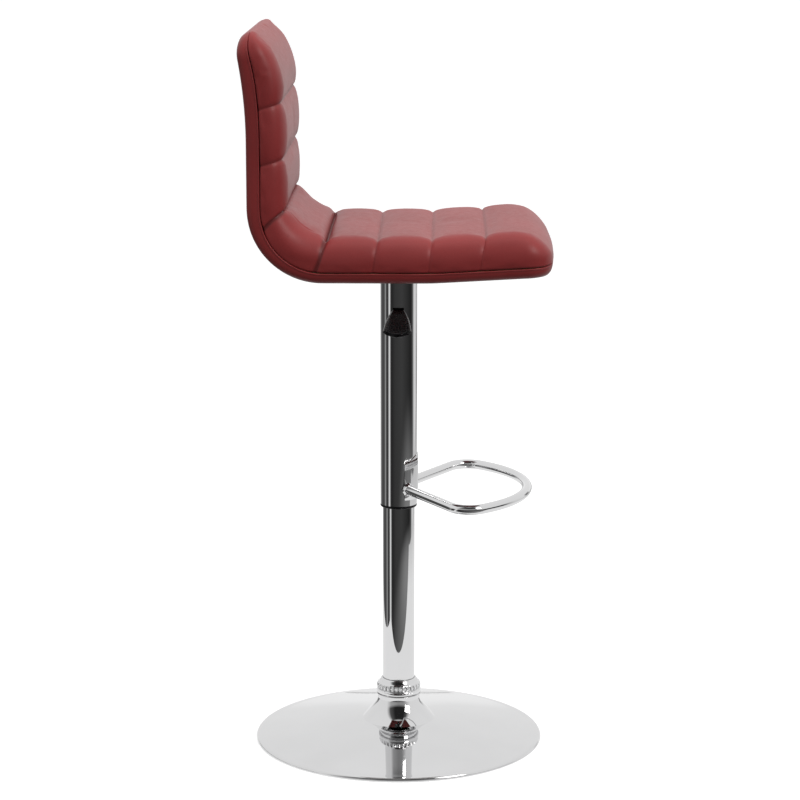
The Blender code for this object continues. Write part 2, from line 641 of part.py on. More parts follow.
def make_footrest_bracket():
    bm = bmesh.new()
    radius = COVER_RADIUS + CLEAR
    rows = ([], [])
    for i in range(SADDLE_STEPS + 1):
        share = 2.0 * i / SADDLE_STEPS - 1.0
        angle = SADDLE_HALF_ANGLE * share
        x = radius * math.sin(angle)
        y = -radius * math.cos(angle)
        top = SADDLE_TOP + SADDLE_ARCH * math.cos(share * math.pi / 2)
        rows[0].append(bm.verts.new((x, y, SADDLE_BOTTOM)))
        rows[1].append(bm.verts.new((x, y, top)))
    for i in range(SADDLE_STEPS):
        bm.faces.new((rows[0][i], rows[0][i + 1], rows[1][i + 1], rows[1][i]))
    mesh = bpy.data.meshes.new("footrest_bracket")
    bm.to_mesh(mesh)
    bm.free()
    mesh.shade_smooth()
    obj = add_object("footrest_bracket", mesh, CHROME)
    sheet = obj.modifiers.new("sheet", "SOLIDIFY")
    sheet.thickness = SADDLE_GAUGE
    sheet.offset = 1.0
    sheet.use_even_offset = True


# ---------------------------------------------------------------- seat shell geometry
def rounded_segments(corners, radii):
    """Straight runs and arcs through corners, as segments of a path in (ahead, height)."""
    segments = []
    here = Vector(corners[0])
    for i in range(1, len(corners)):
        corner = Vector(corners[i])
        if i == len(corners) - 1:
            segments.append(("line", here, corner))
            break
        into = (corner - here).normalized()
        out = (Vector(corners[i + 1]) - corner).normalized()
        turn = math.atan2(into.x * out.y - into.y * out.x, into.dot(out))
        tangent = radii[i - 1] * math.tan(abs(turn) / 2)
        start = corner - into * tangent
        segments.append(("line", here, start))
        side = math.copysign(1.0, turn)
        normal = Vector((-into.y, into.x)) * side
        centre = start + normal * radii[i - 1]
        segments.append(("arc", centre, radii[i - 1], -normal, turn))
        here = corner + out * tangent
    return segments


def segment_length(seg):
    if seg[0] == "line":
        return (seg[2] - seg[1]).length
    return seg[2] * abs(seg[4])


def point_on(seg, along):
    """Position on a segment and the direction towards the sitter there."""
    if seg[0] == "line":
        heading = (seg[2] - seg[1]).normalized()
        return seg[1] + heading * along, Vector((heading.y, -heading.x))
    centre, radius, start, turn = seg[1:]
    angle = math.copysign(along / radius, turn)
    arm = Matrix.Rotation(angle, 2) @ start
    side = 1.0 if turn > 0 else -1.0
    return centre + arm * radius, Vector(arm) * side


def back_line(height):
    return -BACK_OFFSET - (height - LUMBAR_Z) * math.tan(BACK_LEAN)


SEAT_CORNERS = [(SEAT_FRONT, SEAT_UNDERSIDE + (SEAT_FRONT - SEAT_KICK_Y) * math.tan(SEAT_KICK)),
                (SEAT_KICK_Y, SEAT_UNDERSIDE), (-BACK_OFFSET, SEAT_UNDERSIDE),
                (-BACK_OFFSET, LUMBAR_Z), (back_line(BACK_TOP), BACK_TOP)]
SEAT_PATH = rounded_segments(SEAT_CORNERS, [SEAT_KICK_RADIUS, SEAT_BEND_RADIUS, LUMBAR_RADIUS])
SEAT_LENGTH = sum(segment_length(seg) for seg in SEAT_PATH)
BEND_START = sum(segment_length(seg) for seg in SEAT_PATH[:3])
BEND_END = BEND_START + segment_length(SEAT_PATH[3])


def seat_point(along):
    rest = along
    for seg in SEAT_PATH:
        length = segment_length(seg)
        if rest <= length or seg is SEAT_PATH[-1]:
            return point_on(seg, rest)
        rest -= length


def end_round(distance, length, depth):
    """How far a face is drawn in at a distance from an end that is rounded over a length."""
    share = 1.0 - min(1.0, max(0.0, distance / length))
    return depth * share * share


def seat_faces(along):
    """Rear and front face as distances from the shell line, after rounding at both ends."""
    share = min(1.0, max(0.0, (along - BEND_START) / (BEND_END - BEND_START)))
    thick = SEAT_THICKNESS + (BACK_THICKNESS - SEAT_THICKNESS) * share
    top = SEAT_LENGTH - along
    rear = end_round(along, *FRONT_UNDER_ROUND) + end_round(top, *TOP_REAR_ROUND)
    front = thick - end_round(along, *FRONT_ROUND) - end_round(top, *TOP_ROUND)
    return rear, front


def half_width(along, inset):
    """Half the seat's width, drawn in at its rounded corners, for a layer that far inside."""
    radius = SEAT_CORNER - inset
    short = radius - min(radius, along - inset, SEAT_LENGTH - along - inset)
    return SEAT_HALF_WIDTH - SEAT_CORNER + math.sqrt(radius ** 2 - min(radius, short) ** 2)


def seat_stations(trim):
    """Places along the seat where every layer has a section, from its own ends inwards."""
    ends = [SKIN, FOAM_INSET, LAYER_TRIM]
    ends += [FRONT_ROUND[0] * (1.0 - math.cos(math.radians(15.0 * i))) for i in range(3, 7)]
    first = ends[-1] + STATION_STEP / 2
    middle = [s for s in (STATION_STEP * i for i in range(MOST_STATIONS)) if first < s < SEAT_LENGTH - first]
    inner = sorted(ends + middle + [SEAT_LENGTH - s for s in ends])
    return [trim] + [s for s in inner if trim + 1e-6 < s < SEAT_LENGTH - trim - 1e-6] + [SEAT_LENGTH - trim]


def seat_section(along, rear_depth, front_depth, inset, edge):
    """Half-open section of a layer, across the seat: from its rear corner over its front face and back.

    rear_depth counts from the rear face; front_depth counts from the front face if it is negative.
    """
    rear, front = seat_faces(along)
    low = rear + rear_depth
    high = front + front_depth if front_depth <= 0.0 else rear + front_depth
    wide = half_width(along, inset)
    if edge == 0.0:
        return [(-wide, low), (-wide, high), (wide, high), (wide, low)]
    radius = min(edge, (high - low) * 0.9)
    section = [(-wide, low)] + arc((-wide + radius, high - radius), radius, math.pi, math.pi / 2, EDGE_STEPS)
    return section + arc((wide - radius, high - radius), radius, math.pi / 2, 0.0, EDGE_STEPS) + [(wide, low)]


def place_section(along, section):
    spot, inward = seat_point(along)
    return [(x, -(spot.x + inward.x * d), spot.y + inward.y * d) for x, d in section]


def seat_layer(name, mat, rear_depth, front_depth, inset, trim, edge=0.0):
    """A solid layer of the seat."""
    rings = []
    for along in seat_stations(trim):
        rings.append(place_section(along, seat_section(along, rear_depth, front_depth, inset, edge)))
    return loft(name, rings, mat)


def seat_skin(name, mat, rear_depth, front_depth, edge, open_front):
    """A vinyl skin over one side of the seat: an open tray of even thickness."""
    bm = bmesh.new()
    rows = []
    for along in seat_stations(0.0):
        section = seat_section(along, rear_depth, front_depth, 0.0, edge)
        if open_front:
            section = [section[1], section[0], section[3], section[2]]
        rows.append([bm.verts.new(p) for p in place_section(along, section)])
    for a, b in zip(rows, rows[1:]):
        for i in range(len(a) - 1):
            bm.faces.new((a[i], a[i + 1], b[i + 1], b[i]))
    caps = [bm.faces.new(rows[0]), bm.faces.new(rows[-1])]
    bmesh.ops.recalc_face_normals(bm, faces=bm.faces[:])
    caps[0].normal_update()
    if caps[0].normal.y > 0.0:
        bmesh.ops.reverse_faces(bm, faces=bm.faces[:])
    mesh = bpy.data.meshes.new(name)
    bm.to_mesh(mesh)
    bm.free()
    obj = add_object(name, mesh, mat)
    sheet = obj.modifiers.new("skin", "SOLIDIFY")
    sheet.thickness = SKIN
    sheet.offset = -1.0
    sheet.use_even_offset = True
    return obj


def make_seat():
    hole = BOLT_RADIUS + BOLT_ROOM
    low = SEAT_UNDERSIDE - CUT_OVERRUN
    rear_cover = seat_skin("rear_cover", VINYL, 0.0, BAND, 0.0, True)
    cut(rear_cover, bolt_hole_cutter("cover_bolt_holes", hole, low, SEAT_UNDERSIDE + CUT_OVERRUN))
    padding = seat_layer("rear_padding", FOAM, PADDING_D, PADDING_D + PADDING, LAYER_INSET, LAYER_TRIM)
    cut(padding, bolt_hole_cutter("padding_bolt_holes", hole, low, SEAT_UNDERSIDE + PLY_D + BOLT_ROOM))
    shell = seat_layer("plywood_shell", WOOD, PLY_D, PLY_D + PLY, LAYER_INSET, LAYER_TRIM)
    ply_top = SEAT_UNDERSIDE + PLY_D + PLY
    cut(shell, bolt_hole_cutter("tnut_barrel_holes", TNUT_BARREL_RADIUS + CLEAR, low,
                                ply_top + CUT_OVERRUN))
    cut(shell, bolt_hole_cutter("tnut_flange_seats", TNUT_FLANGE_RADIUS + CLEAR,
                                ply_top - TNUT_FLANGE - 2 * CLEAR, ply_top + CUT_OVERRUN))
    seat_layer("seat_foam", FOAM, FOAM_D, -FOAM_INSET, FOAM_INSET, FOAM_INSET, CUSHION_EDGE - FOAM_INSET)
    seat_skin("front_cover", VINYL, CUSHION_D, 0.0, CUSHION_EDGE, False)


# ---------------------------------------------------------------- seat fixing
def make_seat_plate():
    size = (PLATE_WIDTH, PLATE_LENGTH, PLATE_THICKNESS)
    middle = Vector((0, 0, PLATE_TOP - PLATE_THICKNESS / 2))
    plate = add_object("seat_plate", box_mesh("seat_plate", size, middle), BLACK_PAINT)
    bevel = plate.modifiers.new("corners", "BEVEL")
    bevel.width = PLATE_CORNER
    bevel.segments = 3
    bevel.limit_method = "WEIGHT"
    weights = plate.data.attributes.new("bevel_weight_edge", "FLOAT", "EDGE")
    for edge in plate.data.edges:
        a, b = (plate.data.vertices[i].co for i in edge.vertices)
        weights.data[edge.index].value = 1.0 if abs(a.z - b.z) > PLATE_THICKNESS / 2 else 0.0
    cut(plate, bolt_hole_cutter("plate_bolt_holes", BOLT_RADIUS + PLATE_HOLE_ROOM, PLATE_BOTTOM - BOLT_ROOM,
                                PLATE_TOP + BOLT_ROOM))


def make_seat_fasteners():
    washer_top = PLATE_BOTTOM - CLEAR
    washer = ring_profile(BOLT_RADIUS + CLEAR, BOLT_WASHER_RADIUS, washer_top - BOLT_WASHER, washer_top)
    head_top = washer_top - BOLT_WASHER - CLEAR
    flange_low = SEAT_UNDERSIDE + PLY_D + PLY - TNUT_FLANGE - CLEAR
    bolt_top = flange_low + TNUT_FLANGE - CLEAR
    head_low = head_top - BOLT_HEAD_HEIGHT
    bolt = [(0.0, bolt_top), (BOLT_RADIUS - CHAMFER, bolt_top), (BOLT_RADIUS, bolt_top - CHAMFER),
            (BOLT_RADIUS, head_top), (BOLT_HEAD_RADIUS, head_top),
            (BOLT_HEAD_RADIUS, head_low + BOLT_HEAD_CHAMFER), (BOLT_HEAD_RADIUS - BOLT_HEAD_CHAMFER, head_low),
            (0.0, head_low)]
    thread = BOLT_RADIUS + CLEAR
    flange_top = flange_low + TNUT_FLANGE
    barrel_low = flange_low - TNUT_BARREL
    tnut = [(TNUT_FLANGE_RADIUS, flange_top), (TNUT_FLANGE_RADIUS, flange_low), (TNUT_BARREL_RADIUS, flange_low),
            (TNUT_BARREL_RADIUS, barrel_low), (thread, barrel_low), (thread, flange_top)]
    meshes = {"seat_washer": profile_mesh("seat_washer", washer, True),
              "seat_bolt": profile_mesh("seat_bolt", bolt, False),
              "t_nut": profile_mesh("t_nut", tnut, True)}
    for number, (x, y) in enumerate(bolt_places(), start=1):
        for kind, mesh in meshes.items():
            turned(f"{kind}_{number}", None, ZINC, TURN_BOLT, mesh=mesh, location=(x, y, 0))


make_base_plate()
make_base_inside()
make_column()
make_spindle()
make_gas_cylinder()
make_cover_tube()
make_lever_bracket()
make_lever()
make_footrest()
make_footrest_bracket()
make_seat_plate()
make_seat()
make_seat_fasteners()
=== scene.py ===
"""Looks of the adjustable swivel stool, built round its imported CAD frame.

Metres, +Z up. The origin lies on the floor under the column's axis. The sitter faces -Y and the
lift lever is towards -X. Sizes come from the frame's nodes or follow the CAD part's dimensions.
"""

import json
import math

import bmesh
import bpy
import numpy as np
from mathutils import Matrix, Vector


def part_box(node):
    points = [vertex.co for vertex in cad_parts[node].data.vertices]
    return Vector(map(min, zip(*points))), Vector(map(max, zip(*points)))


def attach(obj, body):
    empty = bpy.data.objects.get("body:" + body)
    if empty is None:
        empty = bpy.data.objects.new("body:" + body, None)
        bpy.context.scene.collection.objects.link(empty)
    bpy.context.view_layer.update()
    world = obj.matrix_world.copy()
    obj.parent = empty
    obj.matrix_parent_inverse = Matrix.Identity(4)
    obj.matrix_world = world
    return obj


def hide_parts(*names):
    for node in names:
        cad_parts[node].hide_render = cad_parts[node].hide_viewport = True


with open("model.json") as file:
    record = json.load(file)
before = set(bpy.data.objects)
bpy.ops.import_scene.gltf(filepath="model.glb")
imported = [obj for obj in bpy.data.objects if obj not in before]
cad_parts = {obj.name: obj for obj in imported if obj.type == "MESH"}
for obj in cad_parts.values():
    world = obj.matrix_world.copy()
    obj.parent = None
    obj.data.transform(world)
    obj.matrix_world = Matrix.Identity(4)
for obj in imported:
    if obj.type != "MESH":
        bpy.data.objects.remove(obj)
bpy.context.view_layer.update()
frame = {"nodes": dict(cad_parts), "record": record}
NODES = frame["nodes"]

# ------------------------------ dimensions that follow the CAD part, the shell's within millimetres
AIR_GAP = 0.0003                     # between pieces that touch
COLUMN_WALL = 0.002
COVER_WALL = 0.0015
SADDLE_THICKNESS = 0.0015
LEVER_PIVOT_Z = 0.685
SLOT_RAISE = 0.0010                   # middle of the lever's slot above its pivot
SLOT_HEIGHT = 0.0090
SLOT_WIDTH = 0.014 + 0.003           # the arm and the room beside it
SEAT_UNDERSIDE = 0.7512
SEAT_FRONT = 0.2270
SEAT_KICK_Y = 0.052
SEAT_KICK = math.radians(3.2)
BACK_OFFSET = 0.2190
LUMBAR_Z = 1.018
BACK_LEAN = math.radians(10.5)
BACK_TOP = 1.1115
SHELL_RADII = (0.5, 0.110, 0.67)     # kick, bend and lumbar
SEAT_HALF_WIDTH = 0.190
SEAT_CORNER = 0.035
SEAT_THICKNESS = 0.068
BACK_THICKNESS = 0.060
BAND_SEAT = 0.0165                   # depth of the rear cover's side wall under the seat,
BAND_BACK = 0.0208                   # and behind the back
RING_REACH = 0.1995
RING_FRONT_RADIUS = 0.1875
RING_CORNER_RADIUS = 0.031
RING_ARM_ANGLE = math.radians(59.5)
LEVER_DROOP = math.radians(7.0)
LEVER_KNEE_X = -0.0265

# ------------------------------ cushion details
# how far the cover is drawn down at each seam, from the seat's front to the back's top
SEAM_DIPS = (0.0008, 0.0008, 0.0015, 0.0085, 0.0090, 0.0020, 0.0015)
# how dark the painted shade in each seam's crease is, and how wide if over 1
SEAM_SHADES = (0.45, 0.45, 0.6, 2.2, 2.2, 0.7, 0.6)
# where each seam lies along the shell, at the groove and on top
SEAMS = ((0.1045, 0.0935), (0.1803, 0.1740), (0.2623, 0.2552), (0.3480, 0.3300),
         (0.4725, 0.5010), (0.5725, 0.5805), (0.6519, 0.6580))
BEND_PUFF = 0.0085                   # more filling in the channel between the seat and the back
PUFF = 0.0070                        # how far the channels rise above their seams
SIDE_PUFF = 0.0042
CUSHION_INSET = 0.0030               # sides stand this far in before they are inflated
SHOULDER = 0.027                     # radius of the cushion's rounded top edge
FRONT_BOW = 0.0090                   # the front edge bulges at its middle
FRONT_BOW_LENGTH = 0.075
GROOVE = 0.0008                      # half the gap between the rear cover and the cushion
FIRST_LIFT = 0.75                    # share of the puff given before the cover is blown up
CLOTH_ROOM = 0.0012                  # further than its share that the cloth may rise
CLOTH_SLIDE = 0.0015                 # how far it may creep along its own face
CLOTH_FRAMES = 14
CALM_PASSES = 12                     # evens the blown-up panels out across the seat
DIP_ROWS = 1.5                       # half width of a seam's dip, in rows of the grid
SHADE_ROWS = 0.9
SHOULDER_RINGS = 6
# how a face is rounded at an end of the shell, as (over a length, drawn in by)
BAND_TOP_END = (0.080, 0.0060)
REAR_FRONT_END = (0.012, 0.004)
REAR_TOP_END = (0.036, 0.0110)
CUSHION_FRONT_END = (0.058, 0.021)
CUSHION_TOP_END = (0.085, 0.026)
# rings of the rear cover as (drawn in, depth): its rounded edge, then the bead along the groove
COVER_EDGE = ((0.0160, 0.0), (0.0110, 0.0003), (0.0070, 0.0013), (0.0040, 0.0031),
              (0.0020, 0.0056), (0.0008, 0.0088))
COVER_BEAD = ((0.0003, 0.0060), (0.0003, 0.0034), (-0.0004, 0.0026), (-0.0009, 0.0016),
              (-0.0003, 0.0007), (0.0008, 0.0004), (0.0030, 0.0006), (0.0060, 0.0010))

# ------------------------------ paddle details
GRIP_WIDTHS = (0.019, 0.042)         # at its start and at its flared end
GRIP_THICKNESSES = (0.0072, 0.0058)
GRIP_FLARE = (1.08, 0.8)             # how fast it widens
GRIP_TIP = 0.93                      # share of the length where the end starts to round off
GRIP_TIP_LOSS = (0.55, 0.8)          # of the square of the width and of the thickness
GRIP_POWERS = (0.45, 0.62)           # roundness of its section, across and up
GRIP_ARCH = 0.0180                   # the end's corners lie this much nearer the column
GRIP_ARCH_START = 0.70
GRIP_DISH = 0.0011                   # hollow in the top, inside a rim
GRIP_RIM = 0.0028


# ------------------------------ node helpers
def new_material(name, color, roughness, metallic=0.0, **sockets):
    mat = bpy.data.materials.new(name)
    mat.use_nodes = True
    shader = mat.node_tree.nodes["Principled BSDF"]
    shader.inputs["Base Color"].default_value = (*color, 1.0)
    shader.inputs["Roughness"].default_value = roughness
    shader.inputs["Metallic"].default_value = metallic
    for socket, value in sockets.items():
        shader.inputs[socket.replace("_", " ")].default_value = value
    return mat, mat.node_tree, shader


def node(tree, kind, links=None, **values):
    """A new node. Values go to sockets or settings, and links join other nodes' outputs to its inputs."""
    made = tree.nodes.new("ShaderNode" + kind)
    for key, value in values.items():
        if hasattr(made, key):
            setattr(made, key, value)
        else:
            made.inputs[key.replace("_", " ")].default_value = value
    for socket, output in (links or {}).items():
        tree.links.new(output, made.inputs[socket])
    return made


def object_place(tree, stretch=(1.0, 1.0, 1.0)):
    """Row-frame coordinates, stretched along the axes."""
    coords = node(tree, "TexCoord").outputs["Object"]
    return node(tree, "Mapping", {"Vector": coords}, Scale=stretch).outputs["Vector"]


def noise(tree, scale, detail=3.0, rough=0.5, stretch=(1.0, 1.0, 1.0)):
    where = object_place(tree, stretch)
    made = node(tree, "TexNoise", {"Vector": where}, Scale=scale, Detail=detail, Roughness=rough)
    return made.outputs["Fac"]


def remap(tree, value, low, high, out_low, out_high, way="LINEAR"):
    made = node(tree, "MapRange", {"Value": value}, interpolation_type=way)
    numbers = (low, high, out_low, out_high)
    for socket, number in zip(("From Min", "From Max", "To Min", "To Max"), numbers):
        made.inputs[socket].default_value = number
    return made.outputs["Result"]


def mix_color(tree, factor, first, second):
    made = tree.nodes.new("ShaderNodeMix")
    made.data_type = "RGBA"
    tree.links.new(factor, made.inputs["Factor"])
    for socket, value in ((made.inputs[6], first), (made.inputs[7], second)):
        if isinstance(value, tuple):
            socket.default_value = (*value, 1.0)
        else:
            tree.links.new(value, socket)
    return made.outputs[2]


def add_bump(tree, shader, layers):
    """Chain of bumps, each (height, strength, distance)."""
    normal = None
    for height, strength, distance in layers:
        links = {"Height": height}
        if normal is not None:
            links["Normal"] = normal
        normal = node(tree, "Bump", links, Strength=strength, Distance=distance).outputs["Normal"]
    tree.links.new(normal, shader.inputs["Normal"])


# ------------------------------ materials
def chrome_material():
    tint = (0.74, 0.74, 0.745)
    mat, tree, shader = new_material("chrome", tint, 0.05, 1.0)
    smudge = remap(tree, noise(tree, 9.0, 4.0), 0.35, 0.75, 0.025, 0.060)
    tree.links.new(smudge, shader.inputs["Roughness"])
    darker = tuple(0.93 * c for c in tint)
    tone = mix_color(tree, noise(tree, 14.0, 5.0), tint, darker)
    tree.links.new(tone, shader.inputs["Base Color"])
    add_bump(tree, shader, [(noise(tree, 22.0, 1.0), 0.04, 0.0006),
                            (noise(tree, 900.0, 1.0), 0.012, 0.0001)])
    return mat


def vinyl_material(name, color):
    """Fine-grained vinyl with painted shade: darker in its grain's pores, and in its creases and groove
    where the crease attribute says.
    """
    mat, tree, shader = new_material(name, color, 0.42, 0.0, Specular_IOR_Level=0.34)
    shader.inputs["Sheen Weight"].default_value = 0.03
    shader.inputs["Sheen Roughness"].default_value = 0.45
    shader.inputs["Sheen Tint"].default_value = (1.0, 0.72, 0.70, 1.0)
    pore_shade = tuple(0.62 * c for c in color)
    bright = tuple(1.12 * c for c in color)
    clouds = remap(tree, noise(tree, 7.0, 4.0), 0.3, 0.7, 0.0, 1.0)
    tone = mix_color(tree, clouds, tuple(0.92 * c for c in color), bright)
    where = object_place(tree)
    # painted shade: the grain's pores are coloured darker, as if shaded in their small hollows
    cells = node(tree, "TexVoronoi", {"Vector": where}, feature="DISTANCE_TO_EDGE", Scale=620.0)
    painted_pore_shade = remap(tree, cells.outputs["Distance"], 0.0, 0.12, 1.0, 0.0)
    tone = mix_color(tree, remap(tree, painted_pore_shade, 0.0, 1.0, 0.0, 0.35), tone, pore_shade)
    # painted shade: the colour darkens along the seams' creases and in the groove, as the crease attribute
    # gives it
    crease_shade = node(tree, "Attribute", attribute_name="crease_shade").outputs["Fac"]
    shade = tuple(0.35 * c for c in color)
    tone = mix_color(tree, remap(tree, crease_shade, 0.25, 1.0, 0.0, 0.75), tone, shade)
    tree.links.new(tone, shader.inputs["Base Color"])
    worn = remap(tree, noise(tree, 120.0, 3.0), 0.3, 0.7, 0.39, 0.45)
    tree.links.new(worn, shader.inputs["Roughness"])
    pebble = remap(tree, cells.outputs["Distance"], 0.0, 0.25, 0.0, 1.0)
    add_bump(tree, shader, [(noise(tree, 30.0, 1.0), 0.025, 0.0016), (pebble, 0.12, 0.00014),
                            (noise(tree, 1500.0, 2.0), 0.10, 0.0001)])
    return mat


def plastic_material(name, color, roughness, grain, gloss=0.5):
    mat, tree, shader = new_material(name, color, roughness, Specular_IOR_Level=gloss)
    tone = mix_color(tree, noise(tree, 40.0, 4.0), color, tuple(1.5 * c for c in color))
    tree.links.new(tone, shader.inputs["Base Color"])
    worn = remap(tree, noise(tree, 160.0, 4.0), 0.3, 0.7, roughness * 0.85, roughness * 1.2)
    tree.links.new(worn, shader.inputs["Roughness"])
    add_bump(tree, shader, [(noise(tree, 1800.0, 2.0), grain, 0.0001)])
    return mat


def metal_material(name, color, roughness, streak):
    """Bare or plated metal with faint lines, whose direction comes from the streak's stretch."""
    mat, tree, shader = new_material(name, color, roughness, 1.0)
    lines = noise(tree, 60.0, 4.0, 0.6, streak)
    tone = mix_color(tree, lines, color, tuple(0.7 * c for c in color))
    tree.links.new(tone, shader.inputs["Base Color"])
    worn = remap(tree, lines, 0.2, 0.8, roughness * 0.8, roughness * 1.25)
    tree.links.new(worn, shader.inputs["Roughness"])
    add_bump(tree, shader, [(lines, 0.08, 0.0002)])
    return mat


def paint_material():
    mat, tree, shader = new_material("black_paint", (0.018, 0.018, 0.019), 0.40, Coat_Weight=0.3)
    dust = remap(tree, noise(tree, 30.0, 6.0), 0.45, 0.8, 0.0, 0.5)
    tone = mix_color(tree, dust, (0.016, 0.016, 0.017), (0.05, 0.05, 0.05))
    tree.links.new(tone, shader.inputs["Base Color"])
    add_bump(tree, shader, [(noise(tree, 420.0, 2.0), 0.22, 0.0003)])
    return mat


def wood_material():
    mat, tree, shader = new_material("plywood", (0.60, 0.42, 0.25), 0.65)
    grain = noise(tree, 40.0, 6.0, 0.6, (1.0, 0.08, 0.08))
    tone = mix_color(tree, grain, (0.66, 0.47, 0.28), (0.42, 0.26, 0.13))
    tree.links.new(tone, shader.inputs["Base Color"])
    add_bump(tree, shader, [(grain, 0.3, 0.0004)])
    return mat


def foam_material():
    mat, tree, shader = new_material("foam", (0.75, 0.70, 0.55), 0.95)
    cells = node(tree, "TexVoronoi", {"Vector": object_place(tree)}, Scale=900.0).outputs["Distance"]
    tone = mix_color(tree, cells, (0.78, 0.72, 0.56), (0.60, 0.55, 0.40))
    tree.links.new(tone, shader.inputs["Base Color"])
    add_bump(tree, shader, [(cells, 0.5, 0.0004)])
    return mat


VINYL_RED = (0.235, 0.024, 0.024)
CHROME = chrome_material()
STEEL = metal_material("plain_steel", (0.40, 0.41, 0.43), 0.38, (0.2, 0.2, 1.0))
ZINC = metal_material("zinc_plate", (0.60, 0.60, 0.58), 0.30, (1.0, 0.3, 0.3))
PAINT = paint_material()
GLOSS_BLACK = plastic_material("gloss_black_plastic", (0.006, 0.006, 0.007), 0.24, 0.002, 0.22)
MATT_BLACK = plastic_material("matt_black_plastic", (0.016, 0.016, 0.017), 0.42, 0.15)
RUBBER = plastic_material("rubber", (0.020, 0.020, 0.020), 0.80, 0.4)
VINYL = vinyl_material("burgundy_vinyl", VINYL_RED)
VINYL_REAR = vinyl_material("burgundy_vinyl_rear", VINYL_RED)
FOAM = foam_material()
WOOD = wood_material()
SLOT_LOOKS = {"chrome": CHROME, "plain_steel": STEEL, "zinc_fastener": ZINC, "black_paint": PAINT,
              "gloss_black_plastic": GLOSS_BLACK, "matt_black_plastic": MATT_BLACK, "rubber": RUBBER,
              "burgundy_vinyl": VINYL_REAR, "foam": FOAM, "plywood": WOOD}


def dress_cad_nodes():
    """Every CAD node takes the detailed material of its slot."""
    for part in frame["record"]["subparts"]:
        slots = NODES[part["node"]].data.materials
        slots.clear()
        slots.append(SLOT_LOOKS[part["material_slot"]])


# ------------------------------ mesh helpers
def make_mesh(name, verts, faces, mat, sharp=None):
    mesh = bpy.data.meshes.new(name)
    mesh.from_pydata([tuple(v) for v in verts], [], faces)
    mesh.validate()
    bm = bmesh.new()
    bm.from_mesh(mesh)
    bmesh.ops.recalc_face_normals(bm, faces=bm.faces[:])
    bm.to_mesh(mesh)
    bm.free()
    mesh.shade_smooth()
    if sharp is not None:
        mesh.set_sharp_from_angle(angle=math.radians(sharp))
    mesh.materials.append(mat)
    obj = bpy.data.objects.new(name, mesh)
    bpy.context.scene.collection.objects.link(obj)
    return obj


def finish_piece(obj, body, slot, *stands_for):
    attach(obj, body)
    if stands_for:
        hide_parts(*stands_for)
    return obj


def skin_rings(rings):
    """Faces between closed rings of equal length, whose points are numbered ring after ring."""
    count = len(rings[0])
    faces = []
    for r in range(len(rings) - 1):
        for i in range(count):
            j = (i + 1) % count
            faces.append((r * count + i, r * count + j, (r + 1) * count + j, (r + 1) * count + i))
    return faces


def end_caps(rings):
    """Flat faces over the first ring and the last."""
    count = len(rings[0])
    total = count * len(rings)
    return [tuple(range(count)), tuple(range(total - count, total))]


def lathe(name, profile, mat, steps=128, sharp=40.0, wave=None):
    """A turned ring with a closed profile of (radius, height). wave(angle, z) moves the radii."""
    rings = []
    for r, z in profile:
        ring = []
        for i in range(steps):
            angle = math.tau * i / steps
            radius = r if wave is None else r + wave(angle, z)
            ring.append((radius * math.cos(angle), radius * math.sin(angle), z))
        rings.append(ring)
    rings.append(rings[0])
    verts = [v for ring in rings for v in ring]
    obj = make_mesh(name, verts, skin_rings(rings), mat)
    bm = bmesh.new()
    bm.from_mesh(obj.data)
    bmesh.ops.remove_doubles(bm, verts=bm.verts[:], dist=1e-7)
    bmesh.ops.recalc_face_normals(bm, faces=bm.faces[:])
    bm.to_mesh(obj.data)
    bm.free()
    obj.data.shade_smooth()
    obj.data.set_sharp_from_angle(angle=math.radians(sharp))
    return obj


def arc(centre, radius, start, end, steps):
    """Points on an arc, angles in degrees."""
    angles = [math.radians(start + (end - start) * i / steps) for i in range(steps + 1)]
    return [(centre[0] + radius * math.cos(a), centre[1] + radius * math.sin(a)) for a in angles]


# ------------------------------ base and column
def make_base():
    low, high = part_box("base_plate")
    radius = high.x
    neck_r, neck_h = 0.0325, 0.070
    flare_r, crown_h = 0.058, 0.030
    rim_h, sheet = 0.0065, 0.0018
    swell, rim_inset, roll = 0.0012, 0.009, 0.0045
    flare = [(flare_r - (flare_r - neck_r) * math.cos(math.radians(a)),
              neck_h - (neck_h - crown_h) * math.sin(math.radians(a))) for a in range(0, 86, 5)]
    cone = []
    cone_steps = 24
    for i in range(1, cone_steps + 1):
        share = i / cone_steps
        r = flare_r + (radius - rim_inset - flare_r) * share
        z = crown_h + (rim_h - crown_h) * share + swell * math.sin(math.pi * share)
        cone.append((r, z))
    rim = arc((radius - roll, rim_h - roll - AIR_GAP), roll, 75, 0, 8)
    outer = flare + cone + rim + [(radius, low.z)]
    inner = [(radius - sheet, low.z), (radius - sheet - 0.003, rim_h - 0.004),
             (flare_r, crown_h - sheet), (neck_r - sheet + 0.004, neck_h - 0.012),
             (neck_r - sheet, neck_h)]
    disc = lathe("disc", outer + inner, CHROME, 256, 50.0)
    finish_piece(disc, "base", "chrome", "base_plate")
    low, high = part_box("base_foot_ring")
    mid = (high.z + low.z) / 2
    half = (high.z - low.z) / 2
    foot_width = 0.014
    outside = high.x - half
    inside = high.x - foot_width + half
    foot = [(outside, high.z)] + arc((outside, mid), half, 80, -80, 8) + [(outside, low.z)]
    foot += [(inside, low.z)] + arc((inside, mid), half, 260, 100, 8) + [(inside, high.z)]
    finish_piece(lathe("foot_ring", foot, RUBBER, 192, 60.0), "base", "rubber", "base_foot_ring")


